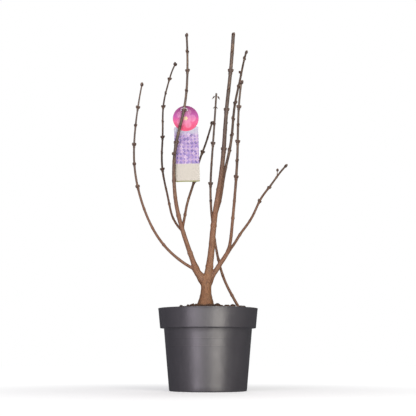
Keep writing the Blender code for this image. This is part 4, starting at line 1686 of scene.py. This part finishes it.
@dataclass(frozen=True)
class HuskForm:
    """A dry seed husk of unit length along Z: a slim beaked pod, split a little way up from its tip."""

    width: float = 0.25
    depth: float = 0.17
    stalk: float = 0.045  # half its width
    droop: float = 0.10  # how far its tip curls down
    split: float = 0.55  # share of the length where the valves part
    gape: float = 0.055  # how far they stand apart at the tip
    sides: int = 12
    rings: int = 16

    def valve(self, side: int) -> Form:
        """Makes one of the two valves.

        Args:
            side: 1 or -1, the side it stands on.

        Returns:
            Its vertices and faces.
        """
        spots = [Vector((0, 0, 0))]
        for level in range(1, self.rings + 1):
            t = level / (self.rings + 1)
            full = self.stalk + (0.5 - self.stalk) * smooth((t - 0.16) / 0.26) * (1 - smooth((t - 0.5) / 0.5))
            parting = self.gape * smooth((t - self.split) / (1 - self.split))
            middle = Vector((-self.droop * t * t, side * parting, t))
            ridge = 1 + 0.06 * math.cos(2 * math.tau * t * 2)
            for spot in circle(1.0, 0.0, self.sides):
                out = max(0.0, side * spot.y) ** 0.8 * side * full * self.depth * ridge
                spots.append(middle + Vector((spot.x * full * self.width, out, 0.0)))
        spots.append(Vector((-self.droop, side * self.gape, 1.0)))
        return spots, ring_faces(self.rings, self.sides)

    def parts(self) -> list[tuple]:
        """Lists the husk's valves, each with the finish that it takes."""
        return [(*self.valve(side), 3) for side in (1, -1)]


@dataclass
class Dressing:
    """The small things on the wood: buds, the scars below them and the pores of the bark."""

    growth: Growth
    skin: Skin
    wood: Sequence[Piece]  # what they stand on
    seed: int
    pore_every: float = 0.000068  # square metres of bark to a pore

    def __post_init__(self) -> None:
        """Readies the wood for rays."""
        graph = bpy.context.evaluated_depsgraph_get()
        graph.update()
        self.surfaces = [BVHTree.FromObject(piece, graph) for piece in self.wood]

    def surface(self, middle: Vector, out: Vector, reach: float, limit: float) -> Vector | None:
        """Finds where a ray from outside meets the wood on its way to an axis.

        Args:
            middle: the place on the axis.
            out: the unit direction away from it.
            reach: how far out the ray starts.
            limit: how far from the axis the wood may be.

        Returns:
            The place, or nothing where the ray misses or meets another limb.
        """
        hits = [surface.ray_cast(middle + out * reach, -out, reach)[0] for surface in self.surfaces]
        found = max((hit for hit in hits if hit), key=lambda hit: (hit - middle).length, default=None)
        return found if found and (found - middle).length < limit else None

    def gather_buds(self) -> Gatherer:
        """Gathers every bud, wrapped in scales."""
        draw = random.Random(self.seed + 500)
        bud_parts, husk_parts = BudForm().parts(), HuskForm().parts()
        gatherer = Gatherer()
        for bud in (bud for crop in self.growth.crops.values() for bud in crop.buds):
            hidden = max(0.55 * bud.radius, 0.12 * bud.length)
            length = bud.length - hidden
            heading = bud.heading
            out = (heading - bud.stem * heading.dot(bud.stem)).normalized()
            side = (out - heading * heading.dot(out)).normalized()
            frame = Matrix((side, heading.cross(side), heading)).transposed()
            plump = draw.uniform(0.90, 1.08)
            size = Vector((length * plump, length * plump, length))
            for spots, faces, finish in husk_parts if bud.kind is BudKind.HUSK else bud_parts:
                sized = [Vector([a * b for a, b in zip(spot, size)]) for spot in spots]
                placed = [bud.spot + heading * hidden + frame @ spot for spot in sized]
                gatherer.add(placed, faces, 2 if bud.kind is BudKind.END and finish == 0 else finish)
        return gatherer

    def lens(self, place: Vector, out: Vector, along: Vector, size: Place, sides: int) -> Form:
        """Makes a small oval boss that is sunk in the wood.

        Args:
            place: where it sits.
            out: the direction it faces.
            along: the direction of its length.
            size: its half length, half width and height.
            sides: how many sides it has.

        Returns:
            Its vertices and faces.
        """
        wide = out.cross(along).normalized()
        long = wide.cross(out)
        spots = [place - out * size[2]]
        for level, share in ((-0.4, 1.0), (0.45, 0.82), (0.85, 0.45)):
            for angle in turns(sides):
                reach = size[0] * math.cos(angle) * long + size[1] * math.sin(angle) * wide
                spots.append(place + share * reach + out * size[2] * level)
        spots.append(place + out * size[2])
        return spots, ring_faces(3, sides)

    def gather_scars(self) -> Gatherer:
        """Gathers the shield-shaped scar that a fallen leaf left below each bud."""
        gatherer = Gatherer()
        for name, path in self.growth.paths.items():
            for share, turn in self.growth.crops[name].nodes:
                radius = path.radius(share)
                heading = path.tangent(share)
                spot = path.point(share) - heading * (self.skin.cushion_drop + 0.0008)
                for side in (0.0, math.pi):
                    out = across(heading, turn + side)
                    found = self.surface(spot, out, 4 * radius, 2.2 * radius + 0.001)
                    if found:
                        wide = min(0.0013, 0.55 * radius + 0.0003)
                        gatherer.add(*self.lens(found, out, heading, (0.0007, wide, 0.00028), 10))
        return gatherer

    def gather_pores(self) -> Gatherer:
        """Gathers the pale pores of the bark, scattered evenly over the wood."""
        draw = random.Random(self.seed + 600)
        gatherer = Gatherer()
        for path in self.growth.paths.values():
            run = 0.010
            while run < path.length - 0.008:
                share = run / path.length
                radius = path.radius(share)
                heading = path.tangent(share)
                out = across(heading, draw.uniform(0, math.tau))
                found = self.surface(path.point(share), out, 4 * radius, 1.6 * radius + 0.0008)
                size = draw.uniform(0.7, 1.25)
                if found:
                    sizes = (0.00062 * size, 0.00030 * size, 0.00016)
                    gatherer.add(*self.lens(found, out, heading, sizes, 7))
                run += self.pore_every / (math.tau * radius) * draw.uniform(0.5, 1.5)
        return gatherer

    def build(self, scales: list[Finish], scar: Finish, pore: Finish) -> None:
        """Builds the buds, the scars and the pores.

        Args:
            scales: the finishes of the outer and the inner scales, the end buds and the husks.
            scar: the scars' finish.
            pore: the pores' finish.
        """
        put_piece("buds", self.gather_buds().mesh(), scales, sharp=60.0)
        put_piece("leaf_scars", self.gather_scars().mesh(), [scar], sharp=180.0)
        put_piece("bark_pores", self.gather_pores().mesh(), [pore], sharp=180.0)


# ---- label


class PrintedCard(Shader):
    """The card's printed front: a plain flower on its head, small florets on its body and a blank foot."""

    STRIP = 0.1375  # where the blank foot starts, below the middle of the head
    CREAM = (0.66, 0.625, 0.55)
    EDGE = (0.30, 0.31, 0.12)
    DULL = 0.36  # how far the print is toned down

    def __init__(self, head: float, foot: float) -> None:
        """Starts the material.

        Args:
            head: radius of the card's head.
            foot: how far the card's foot is below the middle of its head.
        """
        super().__init__("printed_card")
        self.head, self.foot = head, foot
        self.spot = self.kept("print")
        self.x, self.z = self.parts(self.spot)

    def away(self, x: object, z: object) -> Socket:
        """Gives how far a place is from the middle of its local frame."""
        return self.sums("SQRT", self.sums("ADD", self.times(x, x), self.times(z, z)))

    def petals(self, x: object, z: object, size: float, count: int) -> Socket:
        """Draws a flower round the middle of a local frame.

        Args:
            x: the local X.
            z: the local Z.
            size: the flower's radius.
            count: how many petals it has.

        Returns:
            1 inside the petals and 0 outside.
        """
        angle = self.times(self.sums("ARCTAN2", z, x), count / 2)
        lobe = self.sums("POWER", self.sums("ABSOLUTE", self.sums("COSINE", angle)), 0.45)
        reach = self.times(self.sums("ADD", self.times(lobe, 0.62), 0.38), size)
        return self.between(self.sums("SUBTRACT", reach, self.away(x, z)), -0.0006, 0.0006)

    def florets(self, spot: Socket, scale: float, under: Socket, light: Colour, deep: Colour) -> Socket:
        """Scatters four-petalled florets over a ground.

        Args:
            spot: the place on the card.
            scale: how many there are in a metre.
            under: the ground's colour.
            light: the petals' lighter tint.
            deep: their darker one.

        Returns:
            The colour.
        """
        inputs = {"Vector": spot, "Scale": scale, "Randomness": 0.55}
        cell = self.add("TexVoronoi", inputs, voronoi_dimensions="2D")
        x, z = self.parts(self.vectors("SUBTRACT", spot, cell.outputs["Position"]))
        size = 0.54 / scale
        hue = self.add("SeparateColor", {0: cell.outputs["Color"]})
        heart = self.times(self.petals(x, z, size * 0.22, 4), 0.8)
        tint = self.blend(heart, self.blend(hue.outputs[0], light, deep), (0.62, 0.55, 0.30))
        return self.blend(self.petals(x, z, size, 4), under, tint)

    def body(self) -> Socket:
        """Draws the card below its head."""
        ground = self.steps(
            self.between(self.z, -self.STRIP, -0.6 * self.head),
            (0.0, (0.36, 0.30, 0.62)),
            (1.0, (0.62, 0.56, 0.70)),
            (0.62, (0.44, 0.32, 0.56)),
        )
        field = self.florets(self.spot, 92.0, ground, (0.40, 0.29, 0.62), (0.13, 0.09, 0.36))
        moved = self.vectors("ADD", self.spot, (0.0053, 0.0048, 0.0))
        field = self.florets(moved, 88.0, field, (0.72, 0.55, 0.80), (0.42, 0.28, 0.60))
        ragged = self.sums("ADD", self.z, self.times(self.noise(self.spot, 60.0), 0.02))
        pale = self.times(self.between(ragged, -0.044, -0.028), 0.85)
        field = self.blend(pale, field, (0.60, 0.60, 0.70))
        at_foot = self.between(self.z, -self.foot + 0.0042, -self.foot + 0.0030)
        below = self.between(self.z, -self.STRIP + 0.0005, -self.STRIP - 0.0005)
        return self.blend(below, field, self.blend(at_foot, self.CREAM, self.EDGE))

    def disc(self) -> Socket:
        """Draws the head."""
        disc = self.steps(
            self.between(self.z, -self.head, self.head),
            (0.0, (0.84, 0.09, 0.20)),
            (1.0, (0.30, 0.045, 0.20)),
            (0.35, (0.84, 0.13, 0.33)),
            (0.66, (0.55, 0.10, 0.40)),
        )
        veins = self.noise(self.vectors("MULTIPLY", self.spot, (1.0, 0.35, 1.0)), 130.0, 2.0)
        flower = self.petals(self.x, self.z, 0.78 * self.head, 5)
        flower = self.times(flower, self.between(veins, 0.35, 0.65, 0.45, 1.0))
        disc = self.blend(flower, disc, self.blend(0.45, disc, (0.92, 0.48, 0.68)))
        return self.blend(self.petals(self.x, self.z, 0.17 * self.head, 5), disc, (0.90, 0.70, 0.42))

    def finish(self) -> Finish:
        """Makes the front's material."""
        on_head = self.between(self.away(self.x, self.z), self.head + 0.0006, self.head + 0.0001)
        print_colour = self.blend(on_head, self.body(), self.disc())
        return self.put(
            Base_Color=self.blend(self.DULL, print_colour, (0.0, 0.0, 0.0)),
            Roughness=0.50,
            Normal=self.raised(self.noise(self.places(), 700.0, 2.0), 0.0001, 0.25),
            Specular_IOR_Level=0.30,
        )


@dataclass(frozen=True)
class HangingLabel:
    """A card label with a round head, tied to the left tall shoot."""

    path: Path
    head_radius: float = 0.0385
    half_width: float = 0.036
    shoulder: float = 0.025
    foot: float = 0.192
    corner: float = 0.004
    thickness: float = 0.0007
    centre: Pair = (-0.0663, 0.7995)
    tilt: float = math.radians(2)
    behind: float = 0.009
    hole_height: float = 0.8265
    hole_radius: float = 0.0018
    loop_radius: float = 0.010
    loop_section: float = 0.0007
    loop_slope: float = math.radians(14)
    gap: float = 0.0003
    cup: float = 0.0012  # how far the card's sides bow back
    columns: int = 18

    def grip(self) -> tuple[Vector, float]:
        """Finds the middle of the loop and the depth that the card hangs at."""
        share = self.path.share_at_height(self.hole_height)
        hold = self.path.point(share)
        back = self.loop_radius - self.loop_section - self.path.radius(share) - 2 * self.gap
        middle = hold + back * Vector((0, math.cos(self.loop_slope), -math.sin(self.loop_slope)))
        return middle, hold.y + self.behind

    def loop_point(self, middle: Vector, angle: float) -> Vector:
        """Gives a point on the middle line of the loop."""
        back = Vector((0, math.cos(self.loop_slope), -math.sin(self.loop_slope)))
        return middle + self.loop_radius * (math.cos(angle) * Vector((1, 0, 0)) + math.sin(angle) * back)

    def half(self, z: float) -> float:
        """Gives the card's half width at a height above the middle of its head."""
        head = math.sqrt(max(0.0, self.head_radius**2 - z * z))
        top, bottom = -self.shoulder, -self.foot
        body = self.half_width
        near = min(top - z, z - bottom)
        if near < 0:
            return max(head, 0.0004)
        if near < self.corner:
            body -= self.corner - math.sqrt(self.corner**2 - (self.corner - near) ** 2)
        return max(head, body)

    def heights(self) -> list[float]:
        """Lists the rows' heights, close together where the outline turns."""
        near = [self.corner * (1 - math.cos(math.radians(15 * step))) for step in range(7)]
        low = [-self.foot + away for away in near]
        high = [-self.shoulder - away for away in reversed(near)]
        start = high[-1] + 0.00005
        first = math.asin(start / self.head_radius)
        steps = 44
        angles = [first + (math.pi / 2 - first) * step / steps for step in range(steps + 1)]
        head = [self.head_radius * math.sin(angle) for angle in angles]
        middle = [low[-1] + (high[0] - low[-1]) * step / 40 for step in range(1, 40)]
        return low + middle + high + head

    def mesh(self) -> Mesh:
        """Makes the card: a thin sheet that is a little cupped, with two holes."""
        middle, plane = self.grip()
        turn = Matrix.Rotation(-self.tilt, 3, "Y")
        centre = Vector((self.centre[0], plane, self.centre[1]))
        heights = self.heights()
        spots = []
        for depth in (-self.thickness / 2, self.thickness / 2):
            for z in heights:
                wide = self.half(z)
                for column in range(self.columns + 1):
                    x = wide * (2 * column / self.columns - 1)
                    twist = 0.0022 * smooth((-z - 0.01) / 0.16) * math.sin(2.1 * x / self.half_width)
                    bow = self.cup * (x / self.half_width) ** 2 + twist
                    spots.append(centre + turn @ Vector((x, depth + bow, z)))
        faces = shell_faces(len(heights), self.columns + 1)
        mesh = mesh_of(spots, faces)
        grid_faces = 2 * (len(heights) - 1) * self.columns
        sides = [int(index % 2 == 1 or index >= grid_faces) for index in range(len(faces))]
        mesh.polygons.foreach_set("material_index", sides)
        holes = bmesh.new()
        crossing = math.asin((plane - middle.y) / math.cos(self.loop_slope) / self.loop_radius)
        for angle in (crossing, math.pi - crossing):
            place = Matrix.Translation(self.loop_point(middle, angle)) @ Matrix.Rotation(math.pi / 2, 4, "X")
            add_drill(holes, place, self.hole_radius, 0.012, 20)
        cut = cut_mesh(mesh, holes)
        flat = [turn.inverted() @ (corner.co - centre) for corner in cut.vertices]
        keep_values(cut, "print", [Vector((spot.x, spot.z, 0.0)) for spot in flat])
        return cut

    def loop_mesh(self) -> Mesh:
        """Makes the tie: a thin closed ring through both holes and round the shoot."""
        middle, _ = self.grip()
        steps, sides = 96, 10
        spots, faces = [], []
        for step in range(steps):
            angle = math.tau * step / steps
            spot = self.loop_point(middle, angle)
            out = (spot - middle).normalized()
            up = out.cross(self.loop_point(middle, angle + 0.1) - spot).normalized()
            spots += ring(spot, out, up, self.loop_section, sides)
            here, there = step * sides, (step + 1) % steps * sides
            faces += [(here + a, here + b, there + b, there + a) for a, b in around(sides)]
        return mesh_of(spots, faces)

    def build(self, printed: Finish, plain: Finish, tie: Finish) -> None:
        """Builds the card, with its front's and its back's finish, and its tie."""
        put_piece("card_label", self.mesh(), [printed, plain], ["label"], sharp=40.0)
        put_piece("label_tie", self.loop_mesh(), [tie], ["label_loop"], sharp=180.0)


# ---- studio


class Side(Enum):
    """Where a lamp stands: its turn from the front, in degrees, to the right."""

    LEFT = -31.0
    FRONT = -3.0
    RIGHT = 25.0
    BACK = 168.0


@dataclass(frozen=True)
class Softbox:
    """A tall soft lamp that faces the plant."""

    side: Side
    distance: float
    height: float
    width: float
    tall: float
    power: float
    colour: Colour
    target: Place = (0.0, 0.0, 0.5)

    def build(self) -> None:
        """Builds the lamp."""
        data = bpy.data.lights.new("softbox_" + self.side.name.lower(), "AREA")
        data.shape = "RECTANGLE"
        data.size = self.width
        data.size_y = self.tall
        data.energy = self.power
        data.color = self.colour
        turn = math.radians(self.side.value)
        place = (self.distance * math.sin(turn), -self.distance * math.cos(turn), self.height)
        aim_thing(put_thing(data.name, data), place, self.target)


@dataclass(frozen=True)
class Studio:
    """A white room with a pale floor, soft lamps and the camera."""

    eye: Place = (0.0, -2.86, 0.103)
    aim: Place = (0.0, 0.0, 0.530)
    lens: float = 85.0
    floor_radii: tuple[float, ...] = (0.3, 0.6, 1.0, 1.6, 2.4, 4.0, 6.0)
    floor_sides: int = 96
    lamps: tuple[Softbox, ...] = (
        Softbox(Side.LEFT, 1.9, 0.65, 0.75, 2.8, 23.0, (0.97, 0.88, 1.0)),
        Softbox(Side.RIGHT, 1.9, 0.65, 0.80, 2.8, 38.0, (1.0, 0.95, 0.88)),
        Softbox(Side.FRONT, 3.6, 0.85, 2.4, 2.6, 40.0, (1.0, 0.97, 0.95)),
        Softbox(Side.BACK, 2.6, 1.9, 2.0, 1.6, 26.0, (0.97, 0.98, 1.0)),
    )

    def floor_finish(self) -> Finish:
        """Makes the floor's material, which turns plain white away from the plant."""
        shader = Shader("pale_floor")
        away = shader.add("VectorMath", {0: shader.places()}, operation="LENGTH")
        glow = shader.between(away.outputs["Value"], 0.12, 1.00)
        return shader.put(
            Base_Color=shader.blend(glow, (0.62, 0.62, 0.62), (0.0, 0.0, 0.0)),
            Roughness=0.9,
            Emission_Color=(1.0, 1.0, 1.0),
            Emission_Strength=shader.sums("ADD", shader.times(glow, 0.55), 0.45),
        )

    def build_floor(self) -> None:
        """Builds the floor."""
        sides = self.floor_sides
        spots = [Vector((0, 0, 0))]
        for radius in self.floor_radii:
            spots += circle(radius, 0.0, sides)
        faces: Faces = [(0, 1 + a, 1 + b) for a, b in around(sides)]
        for low in range(1, 1 + (len(self.floor_radii) - 1) * sides, sides):
            high = low + sides
            faces += [(low + a, high + a, high + b, low + b) for a, b in around(sides)]
        mesh = mesh_of(spots, faces)
        mesh.materials.append(self.floor_finish())
        floor = put_thing("floor", mesh)
        floor.visible_glossy = False
        floor.visible_shadow = False

    def build_world(self) -> None:
        """Surrounds the plant with soft grey light, behind a white backdrop."""
        world = bpy.data.worlds.new("white_room")
        world.use_nodes = True
        nodes = Nodes(world.node_tree)
        nodes.tree.nodes.clear()
        room = nodes.add("Background", {0: (0.90, 0.92, 1.0), 1: 0.13})
        sheet = nodes.add("Background", {0: (1.0, 1.0, 1.0), 1: 1.0})
        seen = nodes.add("LightPath").outputs["Is Camera Ray"]
        choose = nodes.add("MixShader", {0: seen, 1: room.outputs[0], 2: sheet.outputs[0]})
        nodes.add("OutputWorld", {0: choose.outputs[0]})
        bpy.context.scene.world = world

    def build(self) -> None:
        """Builds the room, the lamps and the camera."""
        self.build_floor()
        self.build_world()
        for lamp in self.lamps:
            lamp.build()
        data = bpy.data.cameras.new("camera")
        data.lens = self.lens
        camera = put_thing("camera", data)
        aim_thing(camera, self.eye, self.aim)
        bpy.context.scene.camera = camera
        bpy.context.scene.view_settings.view_transform = "Standard"


# ---- the whole plant


class LilacPlant:
    """The plant with all that it carries."""

    def __init__(self) -> None:
        """Lays out the limbs and grows what stands on them."""
        self.rule = GrowthRule()
        self.trunk = Trunk()
        self.skin = Skin()
        paths = self.rule.paths()
        self.label = HangingLabel(paths["left_tall"])
        space = Space()
        for name, path in paths.items():
            space.take_path(name, path)
        self.keep_label_room(space)
        crops: dict[str, Crop] = {}
        for index, limb in enumerate(LIMBS):
            draw = random.Random(self.rule.seed + 100 + index)
            grower = Grower(self.rule, paths[limb.name], space, limb.name, draw)
            crops[limb.name] = grower.grow() if limb.bough < 1.0 else Crop()
        self.growth = Growth(paths, crops)

    def keep_label_room(self, space: Space) -> None:
        """Takes the room round the label and its loop, so that no bud or twig grows into them."""
        label = self.label
        middle, plane = label.grip()
        steps, pitch = 32, 0.008
        for step in range(steps):
            space.take("label", label.loop_point(middle, math.tau * step / steps), label.loop_section)
        for row in range(int((label.foot + label.head_radius) / pitch) + 1):
            for column in range(int(2 * label.head_radius / pitch) + 1):
                x = label.centre[0] - label.head_radius + column * pitch
                z = label.centre[1] + label.head_radius - row * pitch
                space.take("label", Vector((x, plane, z)), pitch / 2)

    def build(self) -> None:
        """Builds the wood, what it carries and the label."""
        bark = LilacBark().material()
        body = BarkBody(self.trunk, self.growth, self.skin).build(bark)
        stems = Stems(self.growth, self.skin).build(bark)
        scales = (
            Mottled("outer_bud_scale", (0.050, 0.026, 0.018), (0.105, 0.058, 0.040)),
            Mottled("inner_bud_scale", (0.095, 0.048, 0.036), (0.130, 0.100, 0.050)),
            Mottled("tip_bud_scale", (0.040, 0.022, 0.016), (0.080, 0.046, 0.033)),
            Mottled("husk_skin", (0.045, 0.027, 0.017), (0.095, 0.062, 0.040)),
        )
        Dressing(self.growth, self.skin, [body, stems], self.rule.seed).build(
            [scale.material() for scale in scales],
            dry_matter("leaf_scar", (0.190, 0.115, 0.070)),
            dry_matter("bark_pore", (0.330, 0.215, 0.130)),
        )
        self.label.build(
            PrintedCard(self.label.head_radius, self.label.foot).finish(),
            plain_plastic("card_back", (0.78, 0.76, 0.73), 0.38),
            plain_plastic("white_tie", (0.72, 0.72, 0.74), 0.35),
        )


def main() -> None:
    """Builds the dressed plant round its frame."""
    logging.basicConfig(level=logging.INFO, format="%(message)s")
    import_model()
    Studio().build()
    pot = PotForm()
    pot.build(MouldedPlastic().material())
    plant = LilacPlant()
    PeatBed(pot, plant.trunk).build(Peat().material(), dry_matter("peat_straw", (0.26, 0.150, 0.075)))
    plant.build()


if __name__ == "__main__":
    main()
